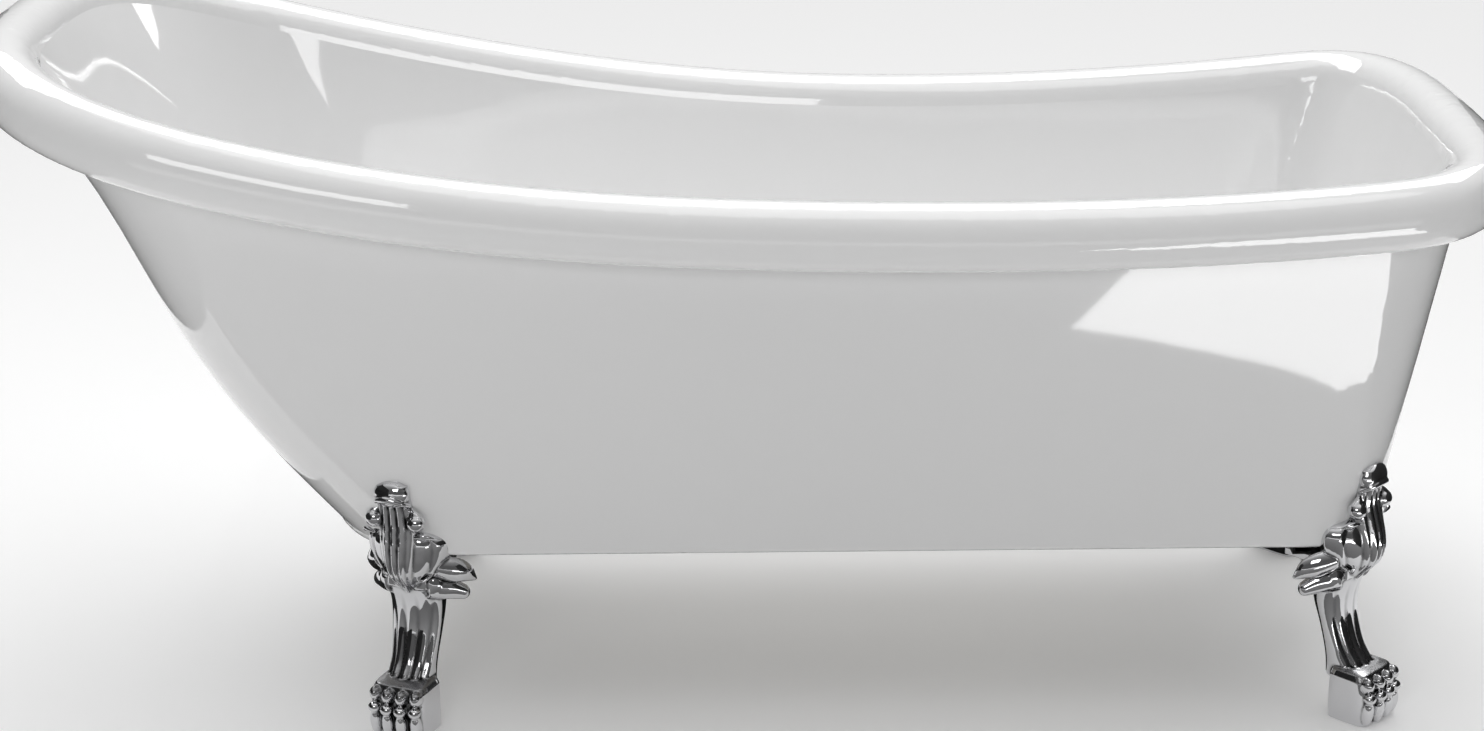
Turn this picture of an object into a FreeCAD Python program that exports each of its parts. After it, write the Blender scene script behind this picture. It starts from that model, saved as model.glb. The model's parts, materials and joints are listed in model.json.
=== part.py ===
import FreeCAD, Part
import math
import os

import Sketcher
from FreeCAD import Placement, Rotation, Vector

# A free-standing slipper bath on four claw feet, in millimetres. The slipper (head) end is at -X, the
# drain end at +X, the floor at z = 0 and the origin under the middle of the rolled rim.
# "left" is +Y and "right" is -Y, as a bather leaning on the slipper end has them.

os.makedirs("parts", exist_ok=True)
doc = FreeCAD.newDocument("clawfoot_bath")

UP = Vector(0, 0, 1)
SIDES = {"left": 1, "right": -1}
ENDS = {"head": -1, "drain": 1}

# ---------------------------------------------------------------- driving dimensions

DIMENSIONS = {
    # rolled rim
    "tub_length": 1700,  # tip to tip over the roll
    "roll_radius": 37.5,  # outside of the rolled rim
    "rim_head_width": 662,  # roll centre to roll centre at the slipper shoulder
    "rim_waist_width": 584,
    "rim_drain_width": 604,
    "rim_head_bow": 312.5,  # length of the rounded slipper end, in plan
    "rim_drain_bow": 149.5,  # length of the rounded drain end, in plan
    "rim_waist_x": 150,
    "rim_low_x": 240,  # where the rim is lowest
    "rim_low_height": 589.5,  # roll centre at the lowest point
    "slipper_rise": 163,
    "drain_rise": 35,
    "roll_lip_angle": 45,  # the roll stops this far below level, on its inner side
    "crease_angle": 9,  # where the roll turns into the basin wall
    "shell_thickness": 7,
    # outer skirt
    "base_height": 208,  # underside of the skirt
    "base_width": 502,
    "base_head_x": 487,  # reach of the foot of the skirt towards the slipper end
    "base_drain_x": 732,
    "base_head_bow": 190,
    "base_drain_bow": 120,
    "skirt_inset": 18,  # from the roll's centre in to the top of the skirt
    "skirt_thickness": 5,
    "bond_gap": 0.4,  # glue line between the skirt and the roll
    "fold_radius": 10,  # rounded lower edge
    "return_width": 20,  # flange under the skirt
    "return_thickness": 5,
    # basin
    "well_width": 430,  # at the foot of the basin walls
    "well_head_x": 505,
    "well_drain_x": 690,
    "well_head_bow": 230,
    "well_drain_bow": 150,
    "well_fillet": 60,  # from the walls to the flat floor
    # floor stack
    "panel_thickness": 8,
    "panel_gap": 0.5,
    "board_thickness": 18,
    "board_width": 290,
    "board_head_x": 400,
    "board_drain_x": 678,
    "board_corner": 30,
    "rail_width": 50,
    "rail_height": 30,
    "rail_wall": 3,
    "rail_length": 410,
    # claw feet
    "foot_angle_head": 22,  # how far each foot turns towards its own end
    "foot_angle_drain": 45,
    "foot_clearance": 0.9,  # between a foot and the skirt
    "leaf_top": 309,
    "leaf_width": 92,
    "leaf_bulge": 27.5,  # how far the leaf stands out from the skirt
    "leaf_into_skirt": 20,  # drawn this far in behind the skirt's face, then cut back to it
    "leaf_root_drop": 45,  # below the bath's edge
    "tip_out": 6,  # the leaf's curled tip, out from the skirt
    "tip_depth": 20,
    "tip_width": 36,
    "tip_height": 18,
    "volute_radius": 10,
    "volute_out": 5,
    "volute_side": 24.5,
    "volute_drop": 46,  # below the leaf's top
    "wing_reach": 66,
    "shank_width": 56,
    "shank_depth": 36,
    "paw_width": 66,
    "paw_length": 50,
    "paw_height": 60,
    "heel_inset": 8,  # the paw's heel lies this far inside the skirt's edge
    "toe_radius": 10,
    "tongue_length": 84,
    "tongue_width": 36,
    "tongue_thickness": 10,
    "bolt_inset": 60,  # from the skirt's edge in to the bolt
    "ledge_depth": 16,
    "ledge_width": 48,
    "ledge_height": 40,
    "rail_clearance": 0.4,  # between a foot and the sides of its rail
    "skirt_cut_reach": 150,  # how much of the skirt's edge a foot is cut back to
    # fasteners
    "bolt_radius": 5,
    "bolt_hole_clearance": 0.5,
    "bolt_head_flats": 16,
    "bolt_head_height": 6.4,
    "bolt_end": 5,  # thread showing past the nut
    "nut_height": 8,
    "washer_radius": 12,
    "washer_thickness": 2,
    "screw_radius": 2.5,
    "screw_head_radius": 5,
    "screw_head_height": 3,
    "screw_depth": 20,  # into the panel and board
    "screw_spacing": 130,
    "thread_gap": 0.3,
    # levellers
    "level_travel": 12,
    "pad_radius": 15,
    "pad_thickness": 5,
    "pad_boss_radius": 9,
    "pad_boss_height": 6,
    "stud_radius": 5,
    "stud_length": 42,
    "stud_flats": 13,
    "stud_hex_height": 5,
    "paw_recess_radius": 19,
    "paw_recess_height": 24,
    # drain and overflow
    "drain_x": 560,
    "drain_hole_radius": 26,
    "drain_flange_radius": 35,
    "drain_flange_height": 3,
    "drain_bore_radius": 20,
    "drain_thread_radius": 24,
    "drain_thread_length": 48,
    "washer_seal_thickness": 3,
    "board_cutout_radius": 52,
    "stopper_radius": 29,
    "stopper_height": 6,
    "stopper_lift": 9,
    "seal_thickness": 2,
    "seal_inset": 2,  # inside the stopper cap's edge
    "stem_radius": 4,
    "stem_length": 40,
    "guide_height": 6,
    "guide_hub_radius": 8,
    "guide_bar": 5,
    "pipe_radius": 19,
    "pipe_wall": 1.5,
    "socket_wall": 3,
    "socket_depth": 18,
    "waste_height": 155,  # axis of the cross pipe
    "tee_x": 695,
    "tailpiece_bottom": 68,
    "tailpiece_free": 38,  # plain length below the rolled bead, for the house's waste pipe
    "tailpiece_bead": 1.4,
    "slip_nut_height": 14,
    "slip_nut_wall": 4,
    "overflow_height": 485,
    "overflow_hole_radius": 16,
    "overflow_cover_radius": 36,
    "overflow_cover_height": 7,
    "grille_hole_radius": 3,
    "grille_spread": 11.5,
    "overflow_body_radius": 24,
    "overflow_body_depth": 18,
    "hose_radius": 11,
    "hose_wall": 2,
    "hose_bend": 90,
    "seat_gap": 0.3,  # clearance kept between curved faces
}

sheet = doc.addObject("Spreadsheet::Sheet", "Sizes")
for row, (alias, number) in enumerate(DIMENSIONS.items(), start=1):
    sheet.set(f"A{row}", alias)
    sheet.set(f"B{row}", str(number))
    sheet.setAlias(f"B{row}", alias)
doc.recompute()


class Size:
    """A size that keeps its number together with the spreadsheet expression that gives it."""

    def __init__(self, text, number):
        self.text = text
        self.number = float(number)

    def combine(self, other, sign, number):
        other_text = other.text if isinstance(other, Size) else str(other)
        return Size(f"({self.text} {sign} {other_text})", number)

    def __add__(self, other):
        return self.combine(other, "+", self.number + float(other))

    def __sub__(self, other):
        return self.combine(other, "-", self.number - float(other))

    def __mul__(self, other):
        return self.combine(other, "*", self.number * float(other))

    def __truediv__(self, other):
        return self.combine(other, "/", self.number / float(other))

    def __neg__(self):
        return Size(f"(0 - {self.text})", -self.number)

    def __float__(self):
        return self.number


def cell(alias):
    """The size kept in the spreadsheet under this alias."""
    return Size(f"Sizes.{alias}", sheet.get(alias))


def mm(alias):
    """The plain number in the spreadsheet, for shapes that are worked out here."""
    return float(sheet.get(alias))


ZERO = Size("0", 0)


def fixed(number):
    """A place worked out from the outlines, as a size."""
    return Size(repr(round(number, 6)), number)


# Heights of the floor stack, from the skirt's underside up to the basin's floor.
panel_z = cell("base_height") + cell("return_thickness")
board_z = panel_z + cell("panel_thickness")
basin_back_z = board_z + cell("board_thickness")
floor_z = basin_back_z + cell("shell_thickness")
rail_z = panel_z - cell("rail_height")
tongue_z = rail_z - cell("tongue_thickness")

# ---------------------------------------------------------------- document helpers

subparts = []


def keep(thing, label):
    """Name a finished piece and put it on the list of files to write."""
    thing.Label = label
    subparts.append(thing)
    return thing


def bind(thing, **sizes):
    """Tie properties of a document object to spreadsheet expressions."""
    for name, size in sizes.items():
        thing.setExpression(name, size.text)
    return thing


def put(thing, x=ZERO, y=ZERO, z=ZERO, rotation=None):
    """Place an object, with its base bound to the sheet."""
    if rotation is not None:
        thing.Placement = Placement(Vector(0, 0, 0), rotation)
    for axis, size in (("x", x), ("y", y), ("z", z)):
        thing.setExpression(f"Placement.Base.{axis}", size.text)
    return thing


def cylinder(radius, height, x=ZERO, y=ZERO, z=ZERO, rotation=None):
    rod = doc.addObject("Part::Cylinder", "rod")
    bind(rod, Radius=radius, Height=height)
    return put(rod, x, y, z, rotation)


def hexagon(flats, height, x=ZERO, y=ZERO, z=ZERO, rotation=None):
    prism = doc.addObject("Part::Prism", "hexagon")
    prism.Polygon = 6
    bind(prism, Circumradius=flats / math.sqrt(3), Height=height)
    return put(prism, x, y, z, rotation)


def block(length, width, height, x=ZERO, y=ZERO, z=ZERO):
    """A box standing on (x, y, z), centred in Y."""
    box = doc.addObject("Part::Box", "block")
    bind(box, Length=length, Width=width, Height=height)
    return put(box, x, y - width / 2, z)


def fuse(*things):
    union = doc.addObject("Part::MultiFuse", "union")
    union.Shapes = list(things)
    return union


def cut(base, tool):
    difference = doc.addObject("Part::Cut", "difference")
    difference.Base = base
    difference.Tool = tool
    return difference


def group(things, label):
    """One node that holds several separate solids."""
    compound = doc.addObject("Part::Compound", "group")
    compound.Links = list(things)
    return keep(compound, label)


def origin_plane(body, role):
    return next(f for f in body.Origin.OriginFeatures if f.Role == role)


def closed_outline(sketch, points):
    """Straight edges through points whose coordinates are sizes, each bound to the sheet."""
    corners = [Vector(float(a), float(b), 0) for a, b in points]
    for start, end in zip(corners, corners[1:] + corners[:1]):
        sketch.addGeometry(Part.LineSegment(start, end), False)
    first = sketch.GeometryCount - len(points)
    for index in range(len(points)):
        following = first + (index + 1) % len(points)
        sketch.addConstraint(Sketcher.Constraint("Coincident", first + index, 2, following, 1))
    for index, (across, along) in enumerate(points):
        for kind, axis, size in (("DistanceX", -2, across), ("DistanceY", -1, along)):
            if float(size) == 0:
                sketch.addConstraint(Sketcher.Constraint("PointOnObject", first + index, 1, axis))
                continue
            number = sketch.addConstraint(
                Sketcher.Constraint(kind, -1, 1, first + index, 1, float(size))
            )
            sketch.setExpression(f"Constraints[{number}]", size.text)


def circle(sketch, radius, x=None, y=None):
    """A circle whose radius and centre are bound to the sheet."""
    centre = Vector(float(x or ZERO), float(y or ZERO), 0)
    index = sketch.addGeometry(Part.Circle(centre, UP, float(radius)), False)
    number = sketch.addConstraint(Sketcher.Constraint("Radius", index, float(radius)))
    sketch.setExpression(f"Constraints[{number}]", radius.text)
    for kind, axis, size in (("DistanceX", -2, x), ("DistanceY", -1, y)):
        if size is None or float(size) == 0:
            sketch.addConstraint(Sketcher.Constraint("PointOnObject", index, 3, axis))
            continue
        number = sketch.addConstraint(Sketcher.Constraint(kind, -1, 1, index, 3, float(size)))
        sketch.setExpression(f"Constraints[{number}]", size.text)


def sketch_on(body, role):
    sketch = body.newObject("Sketcher::SketchObject", "profile")
    sketch.AttachmentSupport = (origin_plane(body, role), [""])
    sketch.MapMode = "FlatFace"
    return sketch


def turned(label, profile, x=ZERO, y=ZERO, z=ZERO, rotation=None):
    """A turned piece: (radius, height) corners swept round the body's own Z axis."""
    body = doc.addObject("PartDesign::Body", "turned")
    sketch = sketch_on(body, "XZ_Plane")
    closed_outline(sketch, profile)
    sweep = body.newObject("PartDesign::Revolution", "sweep")
    sweep.Profile = sketch
    sweep.ReferenceAxis = (sketch, ["V_Axis"])
    sweep.Angle = 360
    body.Tip = sweep
    put(body, x, y, z, rotation)
    return keep(body, label)


def solid_feature(label, shape):
    """A piece with a shape worked out from the sheet's sizes rather than from features."""
    feature = doc.addObject("Part::Feature", "formed")
    feature.Shape = shape
    feature.Placement = Placement()
    return keep(feature, label)


# ---------------------------------------------------------------- plan outlines

STATIONS = 96  # points round each outline
RIM_HEAD_SQUARENESS = 2.85  # exponents of the rounded ends: 2 is an ellipse
RIM_DRAIN_SQUARENESS = 3.1
BASE_HEAD_SQUARENESS = 2.6
BASE_DRAIN_SQUARENESS = 3.0
SLIPPER_POWER = 2.2


def rounded_end(tip_x, bow, half_width, squareness, count=60):
    """A quarter of a squarish ellipse, from its tip on the centre line round to the side."""
    sign = 1 if tip_x > 0 else -1
    points = []
    for step in range(count + 1):
        turn = 0.5 * math.pi * step / count
        reach = bow * math.cos(turn) ** (2 / squareness)
        points.append((tip_x - sign * (bow - reach), half_width * math.sin(turn) ** (2 / squareness)))
    return points


def side_run(start, middle, end, count=40):
    """The long side: two half-waves between three (x, half width) points, level at each."""
    points = []
    for (x0, w0), (x1, w1) in ((start, middle), (middle, end)):
        for step in range(1, count):
            share = step / count
            wave = (1 - math.cos(math.pi * share)) / 2
            points.append((x0 + (x1 - x0) * share, w0 + (w1 - w0) * wave))
    return points


def even_steps(points, count):
    """The same line with points at equal distances."""
    travelled = [0.0]
    for a, b in zip(points, points[1:]):
        travelled.append(travelled[-1] + math.dist(a, b))
    result = []
    index = 0
    for step in range(count + 1):
        target = travelled[-1] * step / count
        while index < len(points) - 2 and travelled[index + 1] < target:
            index += 1
        share = (target - travelled[index]) / (travelled[index + 1] - travelled[index])
        a, b = points[index], points[index + 1]
        result.append(Vector(a[0] + (b[0] - a[0]) * share, a[1] + (b[1] - a[1]) * share, 0))
    return result


def plan(head_x, head_bow, head_width, waist, drain_width, drain_bow, drain_x, squareness):
    """A closed plan outline, from the drain end's tip round by +Y; waist is (x, full width)."""
    drain_end = rounded_end(drain_x, drain_bow, drain_width / 2, squareness[1])
    head_end = rounded_end(-head_x, head_bow, head_width / 2, squareness[0])
    side = side_run(
        (drain_x - drain_bow, drain_width / 2),
        (waist[0], waist[1] / 2),
        (head_bow - head_x, head_width / 2),
    )
    half = even_steps(drain_end + side + head_end[::-1], STATIONS // 2)
    return half + [Vector(p.x, -p.y, 0) for p in half[-2:0:-1]]


def inward(points):
    """The level direction square to the outline at each point, towards the inside."""
    result = []
    for index, point in enumerate(points):
        along = points[(index + 1) % len(points)] - points[index - 1]
        result.append(Vector(-along.y, along.x, 0).normalize())
    return result


half_length = mm("tub_length") / 2 - mm("roll_radius")
rim_plan = plan(
    half_length,
    mm("rim_head_bow"),
    mm("rim_head_width"),
    (mm("rim_waist_x"), mm("rim_waist_width")),
    mm("rim_drain_width"),
    mm("rim_drain_bow"),
    half_length,
    (RIM_HEAD_SQUARENESS, RIM_DRAIN_SQUARENESS),
)
base_plan = plan(
    mm("base_head_x"),
    mm("base_head_bow"),
    mm("base_width"),
    (mm("rim_waist_x"), mm("base_width")),
    mm("base_width"),
    mm("base_drain_bow"),
    mm("base_drain_x"),
    (BASE_HEAD_SQUARENESS, BASE_DRAIN_SQUARENESS),
)
well_plan = plan(
    mm("well_head_x"),
    mm("well_head_bow"),
    mm("well_width"),
    (mm("rim_waist_x"), mm("well_width")),
    mm("well_width"),
    mm("well_drain_bow"),
    mm("well_drain_x"),
    (BASE_HEAD_SQUARENESS, BASE_DRAIN_SQUARENESS),
)


def rim_height(x):
    """Height of the roll's centre line: low near the drain end, sweeping up to the slipper end."""
    low_x = mm("rim_low_x")
    if x < low_x:
        share = (low_x - x) / (low_x + half_length)
        return mm("rim_low_height") + mm("slipper_rise") * share**SLIPPER_POWER
    share = (x - low_x) / (half_length - low_x)
    return mm("rim_low_height") + mm("drain_rise") * share**2


rim_line = [Vector(p.x, p.y, rim_height(p.x)) for p in rim_plan]
rim_inward = inward(rim_plan)
rim_rise = [
    (rim_line[(i + 1) % STATIONS] - rim_line[i - 1]).normalize().cross(rim_inward[i]).normalize()
    for i in range(STATIONS)
]
rim_rise = [direction if direction.z > 0 else -direction for direction in rim_rise]

# The slipper end leans back in a curve: (share of the height, share of the reach) up the skirt and
# up the basin's back rest. Everywhere else the walls are straight.
SKIRT_LEAN = ((0.0, 0.0), (0.25, 0.325), (0.5, 0.565), (0.75, 0.745), (1.0, 1.0))
BACKREST_LEAN = ((0.0, 0.0), (0.25, 0.3), (0.5, 0.56), (0.75, 0.78), (1.0, 1.0))
LEAN_START_X = 100  # the lean fades in from here to the slipper end's tip


def lean_share(x):
    return max(0.0, (LEAN_START_X - x) / (LEAN_START_X + half_length)) ** 2


def ring(points):
    """A smooth closed wire through the points."""
    curve = Part.BSplineCurve()
    curve.interpolate(Points=points, PeriodicFlag=True)
    return Part.Wire(curve.toShape())


def skin(rings):
    """The faces of a smooth surface through closed rings."""
    return Part.makeLoft([ring(points) for points in rings], False, False).Faces


def band(first, second):
    """The faces of a straight band between two closed rings."""
    return Part.makeLoft([ring(first), ring(second)], False, True).Faces


def level_face(outer, inner=None):
    """A flat face inside one level ring, or between two."""
    wires = [ring(outer)] + ([ring(inner)] if inner else [])
    face = Part.Face(wires[0])
    return face.cut(Part.Face(wires[1])).Faces if inner else [face]


def closed_solid(faces):
    """One solid from faces that share their edges."""
    sewn = Part.makeShell(faces)
    sewn.sewShape()
    solid = Part.Solid(sewn)
    if solid.Volume < 0:
        solid.reverse()
    return solid


def roll_ring(angle, radius):
    """Points of the rolled rim at one angle: 0 is towards the basin and 90 is the crest."""
    turn = math.radians(angle)
    return [
        centre + side * (radius * math.cos(turn)) + rise * (radius * math.sin(turn))
        for centre, side, rise in zip(rim_line, rim_inward, rim_rise)
    ]


def offset_level(points, distance, height):
    """A level outline moved inwards, at one height."""
    lift = UP * height
    return [Vector(p.x, p.y, 0) + side * distance + lift for p, side in zip(points, inward(points))]


def skirt_ring(height_share, straight_share, curved_share, inset, foot_z):
    """The skirt at a share of its height, moved inwards by inset."""
    top_inset = mm("skirt_inset") + inset
    drop = math.sqrt((mm("roll_radius") + mm("bond_gap")) ** 2 - top_inset**2)
    base_inward = inward(base_plan)
    points = []
    for i in range(STATIONS):
        top = rim_line[i] + rim_inward[i] * top_inset - rim_rise[i] * drop
        foot = base_plan[i] + base_inward[i] * inset + UP * foot_z
        weight = lean_share(rim_line[i].x)
        reach = straight_share + (curved_share - straight_share) * weight
        point = foot + (top - foot) * reach
        points.append(Vector(point.x, point.y, foot.z + (top.z - foot.z) * height_share))
    return points


def skirt_rings(inset, foot_z):
    return [skirt_ring(height, height, curved, inset, foot_z) for height, curved in SKIRT_LEAN]


# ---------------------------------------------------------------- skirt

fold_top = mm("base_height") + mm("fold_radius")


def fold_ring(angle, radius):
    """The rounded lower edge: 0 is the skirt's side and 90 its underside."""
    turn = math.radians(angle)
    distance = mm("fold_radius") - radius * math.cos(turn)
    return offset_level(base_plan, distance, fold_top - radius * math.sin(turn))


def make_skirt():
    thickness = mm("skirt_thickness")
    outer = skirt_rings(0, fold_top)
    inner = skirt_rings(thickness, fold_top)
    fold_angles = (0, 30, 60, 90)
    fold_outer = [fold_ring(angle, mm("fold_radius")) for angle in fold_angles]
    fold_inner = [fold_ring(angle, mm("fold_radius") - thickness) for angle in fold_angles]
    lip_low = offset_level(base_plan, mm("return_width"), mm("base_height"))
    lip_high = offset_level(base_plan, mm("return_width"), mm("base_height") + thickness)
    faces = skin(outer) + skin(inner) + skin(fold_outer) + skin(fold_inner)
    faces += band(outer[-1], inner[-1])
    faces += level_face(fold_outer[-1], lip_low) + level_face(fold_inner[-1], lip_high)
    faces += band(lip_low, lip_high)
    return closed_solid(faces)


def skirt_near(place, reach, grown):
    """The skirt's space near one place on its edge, grown a little: a foot is cut back to it."""
    levels = skirt_rings(-grown, fold_top)
    underside = mm("base_height") - mm("seat_gap")
    levels.insert(0, [Vector(p.x, p.y, underside) for p in levels[0]])
    chosen = [i for i, p in enumerate(base_plan) if math.dist((p.x, p.y), place) < reach]
    if 0 in chosen and STATIONS - 1 in chosen:
        chosen = [i for i in chosen if i > STATIONS / 2] + [i for i in chosen if i < STATIONS / 2]
    sections = []
    for level in levels:
        arc = Part.BSplineCurve()
        arc.interpolate([level[i] for i in chosen])
        first, last = arc.StartPoint, arc.EndPoint
        inner = Vector(place[0] * 0.6, place[1] * 0.4, first.z)
        edges = [arc.toShape(), Part.makeLine(last, inner), Part.makeLine(inner, first)]
        sections.append(Part.Wire(edges))
    lower = Part.makeLoft(sections[:2], True, True)
    upper = Part.makeLoft(sections[1:], True, False)
    return [lower, upper]


solid_feature("skirt", make_skirt())


# ---------------------------------------------------------------- basin with its rolled rim


def wall_ring(height_share, curved_share, outset):
    """The basin wall at a share of its height; outset moves it outwards, towards the skirt."""
    foot_z = float(floor_z) + mm("well_fillet")
    crease = math.radians(mm("crease_angle"))
    well_inward = inward(well_plan)
    points = []
    for i in range(STATIONS):
        if outset:
            top = rim_line[i] + rim_inward[i] * (mm("roll_radius") - outset)
        else:
            top = rim_line[i] + rim_inward[i] * (mm("roll_radius") * math.cos(crease))
            top += rim_rise[i] * (mm("roll_radius") * math.sin(crease))
        foot = well_plan[i] - well_inward[i] * outset + UP * foot_z
        weight = lean_share(rim_line[i].x)
        reach = height_share + (curved_share - height_share) * weight
        point = foot + (top - foot) * reach
        points.append(Vector(point.x, point.y, foot.z + (top.z - foot.z) * height_share))
    return points


def well_fillet_rings(outset):
    """The rounded foot of the basin walls, from the wall down to the flat floor."""
    radius = mm("well_fillet")
    foot_z = float(floor_z) + radius
    rings = []
    for angle in (0, 22.5, 45, 67.5, 90):
        turn = math.radians(angle)
        distance = radius - (radius + outset) * math.cos(turn)
        rings.append(offset_level(well_plan, distance, foot_z - (radius + outset) * math.sin(turn)))
    return rings


# The overflow goes square through the straight wall at the drain end's middle.
wall_low = Vector(mm("well_drain_x"), 0, float(floor_z) + mm("well_fillet"))
wall_high = wall_ring(1.0, 1.0, 0)[0]
wall_up = (wall_high - wall_low).normalize()
wall_out = Vector(wall_up.z, 0, -wall_up.x)
overflow_spot = wall_low + wall_up * ((mm("overflow_height") - wall_low.z) / wall_up.z)
back_low = wall_low + Vector(mm("shell_thickness"), 0, 0)
back_up = (wall_ring(1.0, 1.0, mm("shell_thickness"))[0] - back_low).normalize()
back_out = Vector(back_up.z, 0, -back_up.x)
wall_depth = (back_low - overflow_spot).dot(back_out) / wall_out.dot(back_out)


def make_basin():
    thickness = mm("shell_thickness")
    lip = mm("roll_lip_angle")
    crease = mm("crease_angle")
    steps = 10
    front_span = 360 - lip - crease
    back_span = 360 - lip
    front_roll = [roll_ring(-lip - front_span * k / steps, mm("roll_radius")) for k in range(steps + 1)]
    back_roll = [
        roll_ring(-lip - back_span * k / steps, mm("roll_radius") - thickness) for k in range(steps + 1)
    ]
    front_wall = [wall_ring(height, curved, 0) for height, curved in BACKREST_LEAN]
    back_wall = [wall_ring(height, curved, thickness) for height, curved in BACKREST_LEAN]
    front_foot = well_fillet_rings(0)
    back_foot = well_fillet_rings(thickness)
    faces = skin(front_roll) + skin(back_roll) + band(front_roll[0], back_roll[0])
    faces += skin(front_wall) + skin(back_wall)
    faces += skin(front_foot) + skin(back_foot)
    faces += level_face(front_foot[-1]) + level_face(back_foot[-1])
    margin = 20
    drain_low = Vector(mm("drain_x"), 0, float(basin_back_z) - margin)
    drain_hole = Part.makeCylinder(mm("drain_hole_radius"), thickness + 2 * margin, drain_low)
    overflow_hole = Part.makeCylinder(
        mm("overflow_hole_radius"), wall_depth + 2 * margin, overflow_spot - wall_out * margin, wall_out
    )
    return closed_solid(faces).cut([drain_hole, overflow_hole])


solid_feature("basin", make_basin())


# ---------------------------------------------------------------- floor stack and rails


def place_on_edge(end, side):
    """Where a foot stands on the skirt's edge: (x, y) and the angle it faces, in degrees from +X."""
    turn = math.tan(math.radians(mm(f"foot_angle_{end}")))
    bow = mm(f"base_{end}_bow")
    half_width = mm("base_width") / 2
    power = BASE_DRAIN_SQUARENESS if end == "drain" else BASE_HEAD_SQUARENESS
    ratio = (turn * bow / half_width) ** (1 / (power - 1))
    across = (1 + ratio**power) ** (-1 / power)
    x = ENDS[end] * (mm(f"base_{end}_x") - bow + bow * ratio * across)
    y = SIDES[side] * half_width * across
    facing = math.degrees(math.atan2(SIDES[side], ENDS[end] * turn))
    return x, y, facing


def foot_point(end, side, outward):
    """A point on a foot's own centre line, so far out from the skirt's edge."""
    x, y, facing = place_on_edge(end, side)
    turn = math.radians(facing)
    return Vector(x + outward * math.cos(turn), y + outward * math.sin(turn), 0)


FEET = [(end, side) for end in ENDS for side in SIDES]
bolt_places = {foot: foot_point(*foot, -mm("bolt_inset")) for foot in FEET}
rail_x = {end: bolt_places[(end, "left")].x for end in ENDS}
SCREW_STEPS = (-2, -1, 1, 2)  # each rail's screws, in half spacings from the bath's middle
screw_places = [
    (rail_x[end], step * mm("screw_spacing") / 2) for end in ENDS for step in SCREW_STEPS
]


def upright_hole(x, y, radius, low, high):
    return Part.makeCylinder(radius, high - low, Vector(x, y, low))


def make_bottom_panel():
    """Plywood panel that lies on the skirt's return flange, with a way through for the waste."""
    gap = mm("skirt_thickness") + mm("panel_gap")
    low, high = float(panel_z), float(board_z)
    level = fold_top - low
    radius = mm("fold_radius") - gap
    inset = mm("fold_radius") - math.sqrt(max(radius**2 - min(level, radius) ** 2, 0))
    panel = level_face(offset_level(base_plan, max(inset, gap), low))[0].extrude(UP * (high - low))
    panel = panel.cut(upright_hole(mm("drain_x"), 0, mm("board_cutout_radius"), low, high))
    hose_hole = mm("hose_radius") + 3 * mm("panel_gap")
    panel = panel.cut(upright_hole(mm("tee_x"), 0, hose_hole, low, high))
    for x, y in screw_places:
        panel = panel.cut(upright_hole(x, y, mm("screw_radius") + mm("seat_gap"), low, high))
    return panel


solid_feature("bottom_panel", make_bottom_panel())


def make_board():
    """Thick board under the basin's flat floor, with rounded corners and a cut-out for the waste."""
    board = doc.addObject("PartDesign::Body", "board")
    outline = sketch_on(board, "XY_Plane")
    half = cell("board_width") / 2
    head, drain = -cell("board_head_x"), cell("board_drain_x")
    closed_outline(outline, [(head, -half), (drain, -half), (drain, half), (head, half)])
    slab = board.newObject("PartDesign::Pad", "slab")
    slab.Profile = outline
    bind(slab, Length=cell("board_thickness"))
    doc.recompute()
    edges = enumerate(slab.Shape.Edges, start=1)
    upright = [f"Edge{number}" for number, edge in edges if abs(edge.tangentAt(0).z) > 0.9]
    rounding = board.newObject("PartDesign::Fillet", "rounding")
    rounding.Base = (slab, upright)
    bind(rounding, Radius=cell("board_corner"))
    opening = sketch_on(board, "XY_Plane")
    circle(opening, cell("board_cutout_radius"), cell("drain_x"))
    for x, y in screw_places:
        circle(opening, cell("screw_radius") + cell("seat_gap"), fixed(x), fixed(y))
    way = board.newObject("PartDesign::Pocket", "waste_way")
    way.Profile = opening
    way.Type = "ThroughAll"
    way.Reversed = True
    board.Tip = way
    put(board, z=board_z)
    return keep(board, "base_board")


make_board()


def make_rail(end):
    """Box-section cross rail, with a hole in its underside for each foot's bolt."""
    rail = doc.addObject("PartDesign::Body", "rail")
    section = sketch_on(rail, "XZ_Plane")
    half, wall, height = cell("rail_width") / 2, cell("rail_wall"), cell("rail_height")
    closed_outline(section, [(-half, ZERO), (half, ZERO), (half, height), (-half, height)])
    inner, inner_top = half - wall, height - wall
    closed_outline(section, [(-inner, wall), (inner, wall), (inner, inner_top), (-inner, inner_top)])
    tube = rail.newObject("PartDesign::Pad", "tube")
    tube.Profile = section
    tube.Midplane = True
    bind(tube, Length=cell("rail_length"))
    holes = sketch_on(rail, "XY_Plane")
    radius = cell("bolt_radius") + cell("bolt_hole_clearance")
    bolt_y = fixed(bolt_places[(end, "left")].y)
    circle(holes, radius, None, bolt_y)
    circle(holes, radius, None, -bolt_y)
    drilled = rail.newObject("PartDesign::Pocket", "bolt_holes")
    drilled.Profile = holes
    drilled.Reversed = True
    bind(drilled, Length=wall)
    fixings = sketch_on(rail, "XY_Plane")
    screw_way = cell("screw_radius") + cell("seat_gap")
    for step in SCREW_STEPS:
        circle(fixings, screw_way, None, cell("screw_spacing") * (step / 2))
    pierced = rail.newObject("PartDesign::Pocket", "screw_holes")
    pierced.Profile = fixings
    pierced.Type = "ThroughAll"
    pierced.Reversed = True
    rail.Tip = pierced
    put(rail, x=fixed(rail_x[end]), z=rail_z)
    return keep(rail, f"cross_rail_{end}")


for end in ENDS:
    make_rail(end)


# ---------------------------------------------------------------- claw feet
# A foot is drawn facing +X at the skirt's edge, standing on the floor, then turned into place.

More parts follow.
